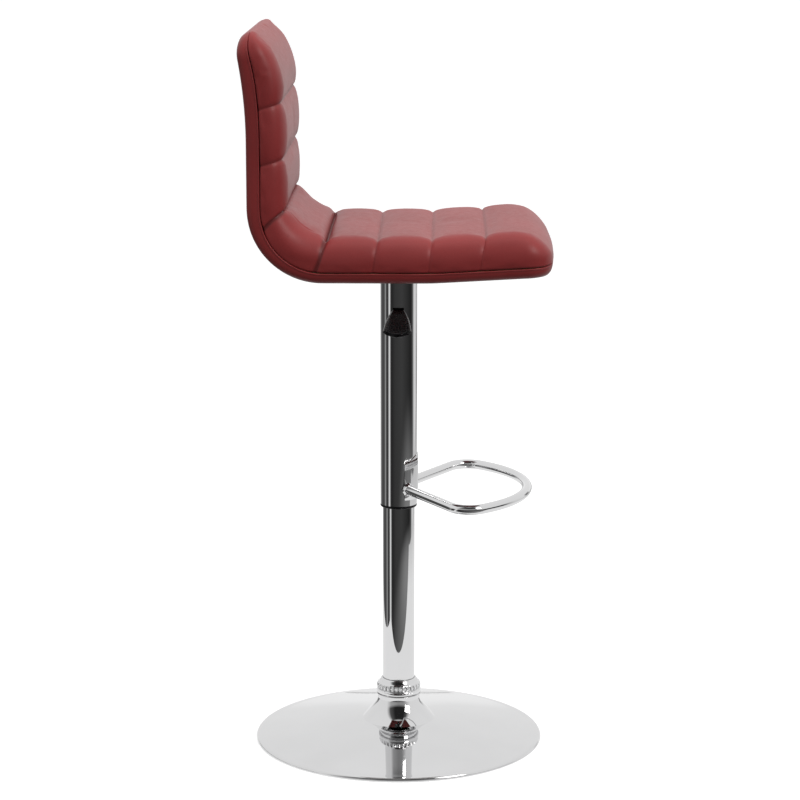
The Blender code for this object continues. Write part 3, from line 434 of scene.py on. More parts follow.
def make_collar():
    """Ribbed collar that clamps the column into the base's neck."""
    low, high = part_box("column_collar")
    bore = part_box("column_tube")[1].x + AIR_GAP
    bottom = low.z
    top = high.z
    r = high.x
    rib_count, rib_height = 30, 0.0011
    rib_middle, rib_half = 0.0135, 0.0048

    def ribs(angle, z):
        share = max(0.0, 1.0 - abs(z - (bottom + rib_middle)) / rib_half)
        return rib_height * share * math.cos(rib_count * angle)

    # bottom flange, waist, ribbed belt and dome
    profile = [(bore, bottom), (r - 0.0014, bottom)]
    profile += arc((r - 0.0012, bottom + 0.0012), 0.0012, -80, 0, 4)
    profile += [(r, bottom + 0.0045), (r - 0.0002, bottom + 0.0062),
                (r - 0.0022, bottom + 0.0072), (r - 0.0025, bottom + 0.0085)]
    profile += [(r - 0.0012 - 0.0006 * abs(i - 4) / 4, bottom + 0.0092 + 0.0011 * i)
                for i in range(9)]
    profile += [(r - 0.0034, bottom + 0.0192), (r - 0.0052, bottom + 0.0208),
                (bore + 0.0030, top - 0.0016), (bore + 0.0016, top), (bore, top)]
    collar = lathe("collar", profile, CHROME, 360, 55.0, ribs)
    finish_piece(collar, "base", "chrome", "column_collar")


TUBE_EDGE = 0.0006                   # rounding at the tubes' ends


def make_tubes():
    low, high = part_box("column_tube")
    bore = high.x - COLUMN_WALL
    edge = high.x - TUBE_EDGE
    profile = [(bore, low.z), (edge, low.z)]
    profile += arc((edge, low.z + TUBE_EDGE), TUBE_EDGE, -75, 0, 3)
    profile += arc((edge, high.z - TUBE_EDGE), TUBE_EDGE, 0, 75, 3)
    profile += [(edge, high.z), (bore, high.z)]
    finish_piece(lathe("lower_tube", profile, CHROME), "base", "chrome", "column_tube")
    column = high.x + AIR_GAP
    low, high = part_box("tube_bushing")
    lip_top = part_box("cover_tube")[0].z - AIR_GAP
    bore = high.x - COVER_WALL - AIR_GAP
    under = 0.0016                   # rounding under the lip
    lip = [(column, low.z), (high.x - under, low.z)]
    lip += arc((high.x - under, low.z + under), under, -75, 0, 5)
    lip += arc((high.x - TUBE_EDGE, lip_top - TUBE_EDGE), TUBE_EDGE, 0, 90, 3)
    lip += [(bore, lip_top), (bore, high.z), (column, high.z)]
    lip = lathe("tube_lip", lip, GLOSS_BLACK)
    finish_piece(lip, "carriage", "matt_black_plastic", "tube_bushing")


def make_cover_tube():
    """Upper tube with the lever's slot cut through its wall by leaving faces out."""
    low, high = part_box("cover_tube")
    radius = high.x
    bore = radius - COVER_WALL
    slot_low = LEVER_PIVOT_Z + SLOT_RAISE - SLOT_HEIGHT / 2
    slot_high = slot_low + SLOT_HEIGHT
    slot_columns = 6
    heights = [low.z, low.z + TUBE_EDGE] + list(np.linspace(low.z + 0.03, slot_low, 14))
    heights += list(np.linspace(slot_low, slot_high, 4)[1:]) + [high.z - TUBE_EDGE, high.z]
    half_angle = math.asin(SLOT_WIDTH / 2 / radius)
    slot_angles = list(np.linspace(-half_angle, half_angle, slot_columns + 1))
    rest = list(np.linspace(half_angle, math.tau - half_angle, 122)[1:-1])
    angles = [math.pi + a for a in slot_angles + rest]
    verts = []
    for wall in (radius, bore):
        for k, z in enumerate(heights):
            trim = TUBE_EDGE if wall == radius and k in (0, len(heights) - 1) else 0.0
            verts += [((wall - trim) * math.cos(a), (wall - trim) * math.sin(a), z) for a in angles]
    count = len(angles)
    layer = len(heights) * count

    def in_slot(i, k):
        middle = (heights[k] + heights[k + 1]) / 2
        return 0 <= i < slot_columns and slot_low < middle < slot_high

    faces = []
    for k in range(len(heights) - 1):
        for i in range(count):
            j = (i + 1) % count
            quad = (k * count + i, k * count + j, (k + 1) * count + j, (k + 1) * count + i)
            if not in_slot(i, k):
                faces.append(quad)
                faces.append(tuple(layer + v for v in reversed(quad)))
                continue
            edges = zip(quad, quad[1:] + quad[:1])
            neighbours = ((i, k - 1), (i + 1, k), (i, k + 1), (i - 1, k))
            for (u, v), neighbour in zip(edges, neighbours):
                if not in_slot(*neighbour):
                    faces.append((u, v, layer + v, layer + u))
    for k in (0, len(heights) - 1):
        for i in range(count):
            j = (i + 1) % count
            faces.append((k * count + i, k * count + j, layer + k * count + j, layer + k * count + i))
    obj = make_mesh("upper_tube", verts, faces, CHROME, 40.0)
    finish_piece(obj, "carriage", "chrome", "cover_tube")


# ------------------------------ footrest
def ring_route():
    """Middle of the footrest's rod in plan, as (across, ahead), from one end to the other."""
    centre = RING_REACH - RING_FRONT_RADIUS
    cos_a, sin_a, r = math.cos(RING_ARM_ANGLE), math.sin(RING_ARM_ANGLE), RING_CORNER_RADIUS
    b = -2.0 * centre * cos_a
    c = r * r + centre ** 2 - 2.0 * centre * r * sin_a - (RING_FRONT_RADIUS - r) ** 2
    along = (-b + math.sqrt(b * b - 4.0 * c)) / 2.0
    ahead = along * cos_a + r * sin_a
    across = along * sin_a - r * cos_a
    turn_end = math.degrees(math.atan2(across, ahead - centre))
    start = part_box("cover_tube")[1].x + SADDLE_THICKNESS + 2 * AIR_GAP
    tangent = Vector((along * cos_a, along * sin_a))
    first = Vector((cos_a, sin_a)) * start
    arm = [first.lerp(tangent, i / 20) for i in range(20)]
    half = [(p.y, p.x) for p in arm]
    turn_start = math.degrees(RING_ARM_ANGLE) + 90.0
    half += [(ac, ah) for ah, ac in arc((ahead, across), r, turn_start, turn_end, 20)]
    half += [(ac, ah) for ah, ac in arc((centre, 0.0), RING_FRONT_RADIUS, turn_end, 0.0, 40)[1:]]
    return half + [(-ac, ah) for ac, ah in reversed(half[:-1])]


def tube_along(name, points, radius, mat, sides=32, wave=None):
    """A round rod through points, with flat ends. wave(i, angle) changes its radius."""
    spots = [Vector(p) for p in points]
    rings = []
    for i, spot in enumerate(spots):
        ahead = spots[min(i + 1, len(spots) - 1)] - spots[max(i - 1, 0)]
        ahead.normalize()
        side = ahead.cross(Vector((0, 0, 1))).normalized()
        up = side.cross(ahead)
        ring = []
        for k in range(sides):
            angle = math.tau * k / sides
            r = radius if wave is None else radius + wave(i, angle)
            ring.append(spot + side * (r * math.cos(angle)) + up * (r * math.sin(angle)))
        rings.append(ring)
    verts = [v for ring in rings for v in ring]
    return make_mesh(name, verts, skin_rings(rings) + end_caps(rings), mat, 50.0)


def make_footrest():
    low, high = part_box("footrest_ring")
    z = (low.z + high.z) / 2
    radius = (high.z - low.z) / 2
    route = ring_route()
    ring = tube_along("footrest_loop", [(ac, -ah, z) for ac, ah in route], radius, CHROME)
    finish_piece(ring, "carriage", "chrome", "footrest_ring")
    for number, ends in enumerate(((route[0], route[1]), (route[-1], route[-2])), start=1):
        start, towards = (Vector((ac, -ah, z)) for ac, ah in ends)
        line = (towards - start).normalized()
        points = [start + line * (0.0002 + 0.0044 * i / 8) for i in range(9)]

        def lumps(i, angle):
            left = 1.0 - i / 8
            return 0.0024 * left ** 1.4 + 0.0005 * math.sin(7 * angle + number) * left

        bead = tube_along(f"weld_bead_{number}", points, radius + 0.0002, CHROME, 48, lumps)
        finish_piece(bead, "carriage", "chrome")


def make_saddle():
    """Curved bracket that the footrest is welded to, with rolled edges."""
    low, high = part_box("footrest_bracket")
    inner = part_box("cover_tube")[1].x + AIR_GAP
    outer = inner + SADDLE_THICKNESS
    edge = 0.0007
    reach = math.radians(71.0)
    arch = 0.014
    shoulder = high.z - arch
    across = 48
    rings = []
    for i in range(across + 1):
        share = 2.0 * i / across - 1.0
        angle = reach * share
        top = shoulder + arch * math.cos(share * math.pi / 2)
        section = [(inner, low.z), (outer - edge, low.z), (outer, low.z + edge)]
        section += [(outer, low.z + (top - low.z) * k / 8) for k in range(1, 8)]
        section += [(outer, top - edge), (outer - edge, top), (inner, top)]
        section += [(inner, low.z + (top - low.z) * k / 4) for k in (3, 2, 1)]
        rings.append([(r * math.sin(angle), -r * math.cos(angle), h) for r, h in section])
    verts = [v for ring in rings for v in ring]
    saddle = make_mesh("saddle", verts, skin_rings(rings) + end_caps(rings), CHROME, 45.0)
    finish_piece(saddle, "carriage", "chrome", "footrest_bracket")


# ------------------------------ lever
def make_grip():
    """Moulded paddle with a raised rim and an arched outer end."""
    low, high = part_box("lever_grip")
    start_x = high.x
    length = high.x - low.x
    pivot_z = (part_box("lever_pin")[0].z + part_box("lever_pin")[1].z) / 2
    slope = math.tan(LEVER_DROOP)
    speed, flare_power = GRIP_FLARE
    width_loss, thickness_loss = GRIP_TIP_LOSS
    across, up = GRIP_POWERS
    rings = []
    steps, sides = 48, 56
    for i in range(steps + 1):
        share = i / steps
        x = start_x - length * share
        z = pivot_z + (x - LEVER_KNEE_X) * slope
        flare = math.sin(math.radians(90.0 * min(1.0, share * speed))) ** flare_power
        tip = max(0.0, (share - GRIP_TIP) / (1.0 - GRIP_TIP))
        width = GRIP_WIDTHS[0] + (GRIP_WIDTHS[1] - GRIP_WIDTHS[0]) * flare
        width *= math.sqrt(1.0 - width_loss * tip ** 2)
        thick = GRIP_THICKNESSES[0] + (GRIP_THICKNESSES[1] - GRIP_THICKNESSES[0]) * share
        thick *= math.sqrt(1.0 - thickness_loss * tip ** 4)
        arch = GRIP_ARCH * max(0.0, share - GRIP_ARCH_START) / (1.0 - GRIP_ARCH_START)
        ring = []
        for k in range(sides):
            angle = math.tau * k / sides
            c, s = math.cos(angle), math.sin(angle)
            y = width / 2 * math.copysign(abs(c) ** across, c)
            h = thick / 2 * math.copysign(abs(s) ** up, s)
            if s > 0:
                hollow = GRIP_DISH * max(0.0, 1.0 - (y / (width / 2 - GRIP_RIM)) ** 2)
                h -= hollow * (1.0 - tip) * min(1.0, share * 6)
            swept = arch * (2.0 * y / width) ** 2
            ring.append((x + swept, y, z + swept * slope + h))
        rings.append(ring)
    verts = [v for ring in rings for v in ring]
    grip = make_mesh("paddle", verts, skin_rings(rings) + end_caps(rings), GLOSS_BLACK, 60.0)
    finish_piece(grip, "lever", "gloss_black_plastic", "lever_grip")


# ------------------------------ seat shell path
def rounded_path(corners, radii, steps=600):
    """Evenly spaced points (ahead, height) and inward directions along a line with rounded corners."""
    spots = [Vector(corners[0])]
    for k in range(1, len(corners) - 1):
        corner = Vector(corners[k])
        into = (corner - Vector(corners[k - 1])).normalized()
        out = (Vector(corners[k + 1]) - corner).normalized()
        turn = math.atan2(into.x * out.y - into.y * out.x, into.dot(out))
        tangent = radii[k - 1] * math.tan(abs(turn) / 2)
        side = math.copysign(1.0, turn)
        centre = corner - into * tangent + Vector((-into.y, into.x)) * side * radii[k - 1]
        arm = (corner - into * tangent) - centre
        spots += [centre + Matrix.Rotation(turn * i / 60, 2) @ arm for i in range(61)]
    spots.append(Vector(corners[-1]))
    line = np.array(spots)
    run = np.concatenate([[0.0], np.cumsum(np.hypot(*np.diff(line, axis=0).T))])
    even = np.linspace(0.0, run[-1], steps + 1)
    place = np.stack([np.interp(even, run, line[:, 0]), np.interp(even, run, line[:, 1])], 1)
    heading = np.gradient(place, axis=0)
    heading /= np.hypot(heading[:, 0], heading[:, 1])[:, None]
    return even, place, np.stack([heading[:, 1], -heading[:, 0]], 1)


def back_line(height):
    return -BACK_OFFSET - (height - LUMBAR_Z) * math.tan(BACK_LEAN)


FRONT_HEIGHT = SEAT_UNDERSIDE + (SEAT_FRONT - SEAT_KICK_Y) * math.tan(SEAT_KICK)
PATH_AT, PATH, PATH_IN = rounded_path(
    [(SEAT_FRONT, FRONT_HEIGHT), (SEAT_KICK_Y, SEAT_UNDERSIDE), (-BACK_OFFSET, SEAT_UNDERSIDE),
     (-BACK_OFFSET, LUMBAR_Z), (back_line(BACK_TOP), BACK_TOP)], SHELL_RADII)
LENGTH = PATH_AT[-1]
BEND_START = LENGTH * 0.45
BEND_END = LENGTH * 0.66


def bend_share(s):
    """0 along the seat, 1 along the back."""
    return np.clip((s - BEND_START) / (BEND_END - BEND_START), 0.0, 1.0)


def ease(value, length, depth):
    """How far a face is drawn in at a distance from an end that is rounded over a length."""
    share = 1.0 - np.clip(value / length, 0.0, 1.0)
    return depth * share * share


def band(s):
    return BAND_SEAT + (BAND_BACK - BAND_SEAT) * bend_share(s) - ease(LENGTH - s, *BAND_TOP_END)


def rear_face(s):
    return ease(s, *REAR_FRONT_END) + ease(LENGTH - s, *REAR_TOP_END)


def front_face(s):
    thick = SEAT_THICKNESS + (BACK_THICKNESS - SEAT_THICKNESS) * bend_share(s)
    return thick - ease(s, *CUSHION_FRONT_END) - ease(LENGTH - s, *CUSHION_TOP_END)


def seat_world(s, x, d):
    """Row-frame points for places along the shell, across it, and in from its rear line."""
    s, x, d = np.broadcast_arrays(s, x, d)
    ahead = np.interp(s, PATH_AT, PATH[:, 0]) + d * np.interp(s, PATH_AT, PATH_IN[:, 0])
    height = np.interp(s, PATH_AT, PATH[:, 1]) + d * np.interp(s, PATH_AT, PATH_IN[:, 1])
    bow = ease(s, FRONT_BOW_LENGTH, FRONT_BOW) * (1.0 - (x / SEAT_HALF_WIDTH) ** 2)
    return np.stack([x, -ahead - bow, height], -1)


# ------------------------------ sheets with rounded corners along the shell
CORNER_STEPS = 6
ACROSS_STEPS = 64
PANEL_STEPS = 17                     # rows in each sewn channel
ROWS = 2 * CORNER_STEPS + PANEL_STEPS * (len(SEAMS) + 1)
COLS = 2 * CORNER_STEPS + ACROSS_STEPS


def stations(top_share):
    """Rows between the corners' tangents, with a row on each seam. Seams lean from groove to top."""
    low = np.array([SEAT_CORNER] + [a for a, b in SEAMS] + [LENGTH - SEAT_CORNER])
    high = np.array([SEAT_CORNER] + [b for a, b in SEAMS] + [LENGTH - SEAT_CORNER])
    knots = low + (high - low) * top_share
    share = (1.0 - np.cos(np.linspace(0.0, math.pi, PANEL_STEPS + 1))) / 2
    share = 0.45 * share + 0.55 * np.linspace(0.0, 1.0, PANEL_STEPS + 1)
    rows = [knots[k] + (knots[k + 1] - knots[k]) * share[:-1] for k in range(len(knots) - 1)]
    return np.append(np.concatenate(rows), knots[-1])


def sheet_grid(inset, top_share):
    """Grid of (along, across) that fills the seat's outline drawn in by an inset."""
    r = SEAT_CORNER - inset
    wide = SEAT_HALF_WIDTH - SEAT_CORNER
    quarter = np.linspace(math.pi / 4, math.pi / 2, CORNER_STEPS + 1)
    middle = np.linspace(-wide, wide, ACROSS_STEPS + 1)
    left, right = quarter[:-1], quarter[::-1][1:]
    end_x = np.concatenate([-wide - r * np.cos(left), middle, wide + r * np.cos(right)])
    end_s = SEAT_CORNER - r * np.concatenate([np.sin(left), np.ones(ACROSS_STEPS + 1),
                                              np.sin(right)])
    line_x = np.concatenate([np.linspace(-wide - r, -wide, CORNER_STEPS + 1)[:-1], middle,
                             np.linspace(wide, wide + r, CORNER_STEPS + 1)[1:]])
    u = np.linspace(0.0, 1.0, COLS + 1)[None, :]
    v = np.linspace(0.0, 1.0, CORNER_STEPS + 1)[:, None]
    falling = np.linspace(math.pi / 4, 0.0, CORNER_STEPS + 1)[:, None]
    side_s = SEAT_CORNER - r * np.sin(falling)
    side_x = wide + r * np.cos(falling)

    def fill(row0, row1, left, right):
        corners = (1 - v) * ((1 - u) * row0[0] + u * row0[-1])
        corners += v * ((1 - u) * row1[0] + u * row1[-1])
        rows = (1 - v) * row0[None, :] + v * row1[None, :]
        return rows + (1 - u) * left + u * right - corners

    patch_s = fill(end_s, np.full(COLS + 1, SEAT_CORNER), side_s, side_s)
    patch_x = fill(end_x, line_x, -side_x, side_x)
    rows = stations(top_share)
    middle_s = np.repeat(rows[:, None], COLS + 1, 1)
    middle_x = np.repeat(line_x[None, :], len(rows), 0)
    s = np.concatenate([patch_s[:-1], middle_s, (LENGTH - patch_s)[::-1][1:]])
    x = np.concatenate([patch_x[:-1], middle_x, patch_x[::-1][1:]])
    return s, x


def border(grid):
    """The outer loop of a grid, once round."""
    return np.concatenate([grid[:-1, 0], grid[-1, :-1], grid[:0:-1, -1], grid[0, :0:-1]])


GRID_INDEX = np.arange((ROWS + 1) * (COLS + 1)).reshape(ROWS + 1, COLS + 1)
LOOP = border(GRID_INDEX)


def grid_faces():
    a, b = GRID_INDEX[:-1, :-1], GRID_INDEX[:-1, 1:]
    c, d = GRID_INDEX[1:, 1:], GRID_INDEX[1:, :-1]
    return np.stack([a, b, c, d], -1).reshape(-1, 4)


def shell_body(name, mat, rim, field, underside=None):
    """A seat layer: a grid over its inside, then rings round its outline.

    rim lists (inset, top share, depth function) from the grid's border outwards. field maps (s, x) of
    the grid to its depth. underside, of the same form as a ring, closes the layer with a second grid.
    """
    inset, share = rim[0][:2]
    s, x = sheet_grid(inset, share)
    verts = [seat_world(s, x, field(s, x)).reshape(-1, 3)]
    faces = [grid_faces()]
    previous = LOOP
    start = GRID_INDEX.size
    for inset, share, depth in rim[1:]:
        s, x = (border(g) for g in sheet_grid(inset, share))
        verts.append(seat_world(s, x, depth(s)))
        ring = np.arange(start, start + len(LOOP))
        faces.append(np.stack([previous, ring, np.roll(ring, -1), np.roll(previous, -1)], -1))
        previous = ring
        start += len(LOOP)
    if underside is not None:
        inset, share, depth = underside
        s, x = sheet_grid(inset, share)
        verts.append(seat_world(s, x, depth(s)).reshape(-1, 3))
        faces.append(grid_faces()[:, ::-1] + start)
        ring = LOOP + start
        faces.append(np.stack([previous, ring, np.roll(ring, -1), np.roll(previous, -1)], -1))
    faces = [tuple(map(int, face)) for face in np.concatenate(faces)]
    return make_mesh(name, np.concatenate(verts), faces, mat)


# ------------------------------ cushion
def groove_floor(s):
    return rear_face(s) + band(s) + GROOVE


def cushion_depth(share):
    """Depth at a share of the way from the groove to the seams' level on top."""
    def depth(s):
        return groove_floor(s) + share * (front_face(s) - PUFF - groove_floor(s))
    return depth


def cushion_rim():
    """From the flat top out over the shoulder and down the side to the groove."""
    rim = []
    drop = SHOULDER / (SEAT_THICKNESS - PUFF - BAND_BACK)
    for i in range(SHOULDER_RINGS + 1):
        angle = math.radians(90.0 - 90.0 * i / SHOULDER_RINGS)
        inset = CUSHION_INSET + SHOULDER * (1.0 - math.cos(angle))
        share = 1.0 - drop * (1.0 - math.sin(angle))
        rim.append((inset, share, cushion_depth(share)))
    for part in (0.78, 0.56, 0.34, 0.16, 0.05):
        share = part * (1.0 - drop)
        rim.append((CUSHION_INSET, share, cushion_depth(share)))
    rim.append((CUSHION_INSET + 0.0022, 0.0, cushion_depth(0.0)))
    rim.append((CUSHION_INSET + 0.0060, 0.0, cushion_depth(-0.012)))
    return rim


def row_of_vertex(count):
    """Row of the grid that each vertex of a shell body lies on, its rim included."""
    rows = np.zeros(count)
    grid_rows = np.repeat(np.arange(ROWS + 1)[:, None], COLS + 1, 1)
    rows[:GRID_INDEX.size] = grid_rows.ravel()
    loop_rows = border(grid_rows)
    start = GRID_INDEX.size
    while start + len(LOOP) <= count:
        rows[start:start + len(LOOP)] = loop_rows
        start += len(LOOP)
    return rows


def ring_of_vertex(count):
    """0 on the grid, then the number of the ring of the rim."""
    rings = np.zeros(count)
    rings[GRID_INDEX.size:] = 1 + (np.arange(count - GRID_INDEX.size) // len(LOOP))
    return rings


BEND_CHANNEL = 3                     # the channel in the bend lies past this seam, counted from 0
SEAM_ROWS = CORNER_STEPS + PANEL_STEPS * np.arange(1, len(SEAMS) + 1)


def inflate(obj, pinned, limit, frames):
    """Blows the cover up with Cloth between its pinned seams, and keeps each point within its limit."""
    rest = np.array([v.co for v in obj.data.vertices])
    normals = np.array([v.normal for v in obj.data.vertices])
    group = obj.vertex_groups.new(name="sewn")
    group.add([int(i) for i in np.flatnonzero(pinned)], 1.0, "REPLACE")
    cloth = obj.modifiers.new("stuffing", "CLOTH")
    settings = cloth.settings
    settings.vertex_group_mass = "sewn"
    settings.quality = 6
    settings.mass = 0.25
    settings.tension_stiffness = 12.0
    settings.compression_stiffness = 12.0
    settings.shear_stiffness = 4.0
    settings.bending_stiffness = 0.8
    settings.shrink_min = -0.008
    settings.use_pressure = True
    settings.uniform_pressure_force = 5.0
    settings.effector_weights.gravity = 0.0
    cloth.collision_settings.use_collision = False
    cloth.point_cache.frame_end = frames
    scene = bpy.context.scene
    for number in range(1, frames + 1):
        scene.frame_set(number)
    posed = obj.evaluated_get(bpy.context.evaluated_depsgraph_get())
    moved = np.array([v.co for v in posed.data.vertices]) - rest
    obj.modifiers.remove(cloth)
    scene.frame_set(1)
    out = (moved * normals).sum(1)
    along = moved - out[:, None] * normals
    soft = limit * np.tanh(np.clip(out, 0.0, None) / np.maximum(limit, 1e-6))
    slide = np.linalg.norm(along, axis=1, keepdims=True)
    along *= np.minimum(1.0, CLOTH_SLIDE / np.maximum(slide, 1e-9))
    change = np.where(pinned[:, None], 0.0, soft[:, None] * normals + along)
    panels = change[:GRID_INDEX.size].reshape(ROWS + 1, COLS + 1, 3)
    for _ in range(CALM_PASSES):
        panels[:, 1:-1] = (panels[:, :-2] + 2.0 * panels[:, 1:-1] + panels[:, 2:]) / 4.0
    final = rest + change
    obj.data.vertices.foreach_set("co", final.ravel())
    obj.data.update()
    print("inflated", round(float(out.max()) * 1000, 1), "mm at most")


def near_seams(rows, width, weights):
    """How close each row is to a seam, from 0 to that seam's weight."""
    gap = (np.asarray(rows, float)[:, None] - SEAM_ROWS[None, :]) / width
    return (np.exp(-gap * gap) * np.array(weights)[None, :]).max(1)


# stores painted shade for the vinyl: at 1 the colour is darkened fully
def paint_crease_shade(obj, value):
    layer = obj.data.attributes.new("crease_shade", "FLOAT", "POINT")
    layer.data.foreach_set("value", np.asarray(value, np.float32))


def round_off(obj):
    smooth = obj.modifiers.new("smooth", "SUBSURF")
    smooth.levels = 1
    smooth.render_levels = 1


def make_cushion():
    rim = cushion_rim()
    dips = near_seams(np.arange(ROWS + 1), DIP_ROWS, SEAM_DIPS)[:, None]
    cushion = shell_body("cushion", VINYL, rim, lambda s, x: cushion_depth(1.0)(s) - dips)
    count = len(cushion.data.vertices)
    rows = row_of_vertex(count)
    ring = ring_of_vertex(count)
    in_groove = ring >= len(rim) - 2
    to_seam = np.abs(rows[:, None] - SEAM_ROWS[None, :]).min(1)
    pinned = (to_seam < 0.5) | in_groove
    on_top = np.clip((SHOULDER_RINGS - ring) / SHOULDER_RINGS, 0.0, 1.0)
    in_bend = (rows > SEAM_ROWS[BEND_CHANNEL]) & (rows < SEAM_ROWS[BEND_CHANNEL + 1])
    limit = SIDE_PUFF + (PUFF - SIDE_PUFF + BEND_PUFF * in_bend) * on_top
    lift = np.clip(to_seam / (PANEL_STEPS / 2), 0.0, 1.0)
    normals = np.array([v.normal for v in cushion.data.vertices])
    place = np.array([v.co for v in cushion.data.vertices])
    rise = np.where(pinned, 0.0, FIRST_LIFT * limit * np.sqrt(1.0 - (1.0 - lift) ** 2))
    cushion.data.vertices.foreach_set("co", (place + normals * rise[:, None]).ravel())
    cushion.data.update()
    inflate(cushion, pinned, (1.0 - FIRST_LIFT) * limit + CLOTH_ROOM, CLOTH_FRAMES)
    # painted shade along the seams' creases and over the whole groove
    crease_shade = near_seams(rows, SHADE_ROWS, SEAM_SHADES)
    paint_crease_shade(cushion, np.maximum(crease_shade, in_groove))
    round_off(cushion)
    finish_piece(cushion, "carriage", "burgundy_vinyl", "front_cover", "seat_foam")


# ------------------------------ rear cover and what is under it
def at_depth(depth):
    return lambda s: rear_face(s) + depth


def near_groove(depth):
    """A depth counted back from the groove."""
    return lambda s: rear_face(s) + band(s) - depth


def make_rear_cover():
    rim = [(inset, 0.0, at_depth(depth)) for inset, depth in COVER_EDGE]
    rim += [(inset, 0.0, near_groove(depth)) for inset, depth in COVER_BEAD]
    cover = shell_body("rear_shell_cover", VINYL_REAR, rim, lambda s, x: rear_face(s))
    # painted shade on the bead's last rings, down in the groove
    paint_crease_shade(cover, ring_of_vertex(len(cover.data.vertices)) >= len(rim) - 2)
    round_off(cover)
    finish_piece(cover, "carriage", "burgundy_vinyl", "rear_cover")


def make_shell_layer(name, mat, slot, low, high, inset, stands_for):
    """A hidden layer between the covers, drawn in from their rounded edges."""
    rim = [(inset, 0.0, at_depth(high)), (inset - 0.001, 0.0, at_depth(high - 0.001)),
           (inset - 0.001, 0.0, at_depth(low + 0.001))]
    layer = shell_body(name, mat, rim, lambda s, x: rear_face(s) + high, (inset, 0.0, at_depth(low)))
    finish_piece(layer, "carriage", slot, stands_for)


# ------------------------------ stage
# brightness round the studio as (degrees from the camera's side towards the seat's front, level)
STUDIO_LOW = ((-180, 1.0), (-152, 0.95), (-138, 0.18), (-116, 0.07), (-97, 0.10), (-92, 0.34),
              (-86, 0.34), (-82, 0.06), (-66, 0.05), (-63, 0.75), (-56, 0.90), (-51, 0.12),
              (-45, 0.02), (-20, 0.045), (20, 0.055), (55, 0.035), (80, 0.02), (97, 0.07),
              (105, 0.50), (113, 0.80), (134, 0.92), (138, 0.25), (144, 0.25), (149, 0.95), (180, 1.0))
STUDIO_MIDDLE = ((-180, 0.92), (-66, 0.90), (-44, 0.45), (0, 0.30), (30, 0.34), (66, 0.90),
                 (180, 0.92))
STUDIO_HIGH = ((-180, 0.95), (-64, 0.90), (-46, 0.10), (-20, 0.02), (30, 0.02), (46, 0.10),
               (64, 0.90), (180, 0.95))
# heights, as the upward part of a direction, over which one band gives way to the next
LOW_TO_MIDDLE = (0.07, 0.13)
MIDDLE_TO_HIGH = (0.56, 0.66)
HIGH_TO_OVERHEAD = (0.96, 0.99)
OVERHEAD = (0.95, 0.95, 0.95)
SKY_HEIGHTS = (-0.3, 0.95)           # between these the light for matt surfaces grows
SKY_LEVELS = (0.10, 0.95)
NEAR_FLOOR = (-0.385, 6.0, -1.85, 0.58)
NEAR_FADE = (1.0, 2.9, 0.97, 0.38)   # distances, then the near floor's level at each
WIDE_FLOOR = (-30.0, 30.0, -30.0, 30.0)
WIDE_FLOOR_Z = -0.0006
POOL_CENTRE = (-0.5, -1.1, 0.0)
POOL_FADE = (0.1, 1.7, 0.24, 0.0)    # distances, then what the pool of light adds at each
FLOOR_GLOW = 0.35


def make_floor(name, extent, z, mat):
    x_low, x_high, y_low, y_high = extent
    mesh = bpy.data.meshes.new(name)
    corners = [(x_low, y_low, z), (x_high, y_low, z), (x_high, y_high, z), (x_low, y_high, z)]
    mesh.from_pydata(corners, [], [(0, 1, 2, 3)])
    mesh.materials.append(mat)
    obj = bpy.data.objects.new(name, mesh)
    bpy.context.scene.collection.objects.link(obj)
    obj.visible_diffuse = False


def lit_floor_material(name, glossy_level):
    """Pale floor. Polished metal sees it at its own level, as glossy_level(tree) gives it."""
    mat, tree, shader = new_material(name, (0.90, 0.90, 0.90), 0.8)
    tone = mix_color(tree, noise(tree, 3.0, 2.0), (0.91, 0.91, 0.91), (0.89, 0.89, 0.89))
    tree.links.new(tone, shader.inputs["Base Color"])
    shader.inputs["Emission Color"].default_value = (1.0, 1.0, 1.0, 1.0)
    shader.inputs["Emission Strength"].default_value = FLOOR_GLOW
    seen = node(tree, "Emission", {"Strength": glossy_level(tree)})
    path = node(tree, "LightPath")
    mixed = node(tree, "MixShader", {0: path.outputs["Is Glossy Ray"], 1: shader.outputs[0],
                                     2: seen.outputs[0]})
    tree.links.new(mixed.outputs[0], tree.nodes["Material Output"].inputs["Surface"])
    return mat


def level_ramp(tree, value, stops):
    """Levels at the stops' degrees, for a value that runs once round from 0 to 1."""
    ramp = node(tree, "ValToRGB", {"Fac": value})
    while len(ramp.color_ramp.elements) < len(stops):
        ramp.color_ramp.elements.new(0.5)
    for element, (degrees, _) in zip(ramp.color_ramp.elements, stops):
        element.position = (degrees + 180.0) / 360.0
    for element, (_, level) in zip(ramp.color_ramp.elements, stops):
        element.color = (level, level, level, 1.0)
    return ramp.outputs["Color"]


def around_axis(tree, vector):
    """Direction round the vertical axis as 0 to 1, where 0.5 is the camera's side."""
    parts = node(tree, "SeparateXYZ", {"Vector": vector})
    flipped = []
    for axis in ("Y", "X"):
        flip = node(tree, "Math", {0: parts.outputs[axis]}, operation="MULTIPLY")
        flip.inputs[1].default_value = -1.0
        flipped.append(flip.outputs[0])
    angle = node(tree, "Math", {0: flipped[0], 1: flipped[1]}, operation="ARCTAN2")
    return remap(tree, angle.outputs[0], -math.pi, math.pi, 0.0, 1.0)


def near_level(tree):
    """The pale floor, darker far from the stool."""
    place = node(tree, "TexCoord").outputs["Object"]
    gap = node(tree, "VectorMath", {0: place}, operation="LENGTH")
    return remap(tree, gap.outputs["Value"], *NEAR_FADE)


def far_level(tree):
    """Dark and bright stretches round the stool, with a pool of light in front of the seat."""
    place = node(tree, "TexCoord").outputs["Object"]
    around = around_axis(tree, place)
    gap = node(tree, "VectorMath", {0: place}, operation="DISTANCE")
    gap.inputs[1].default_value = POOL_CENTRE
    pool = remap(tree, gap.outputs["Value"], *POOL_FADE, way="SMOOTHSTEP")
    stripes = level_ramp(tree, around, STUDIO_LOW)
    return node(tree, "Math", {0: pool, 1: stripes}, operation="ADD").outputs[0]


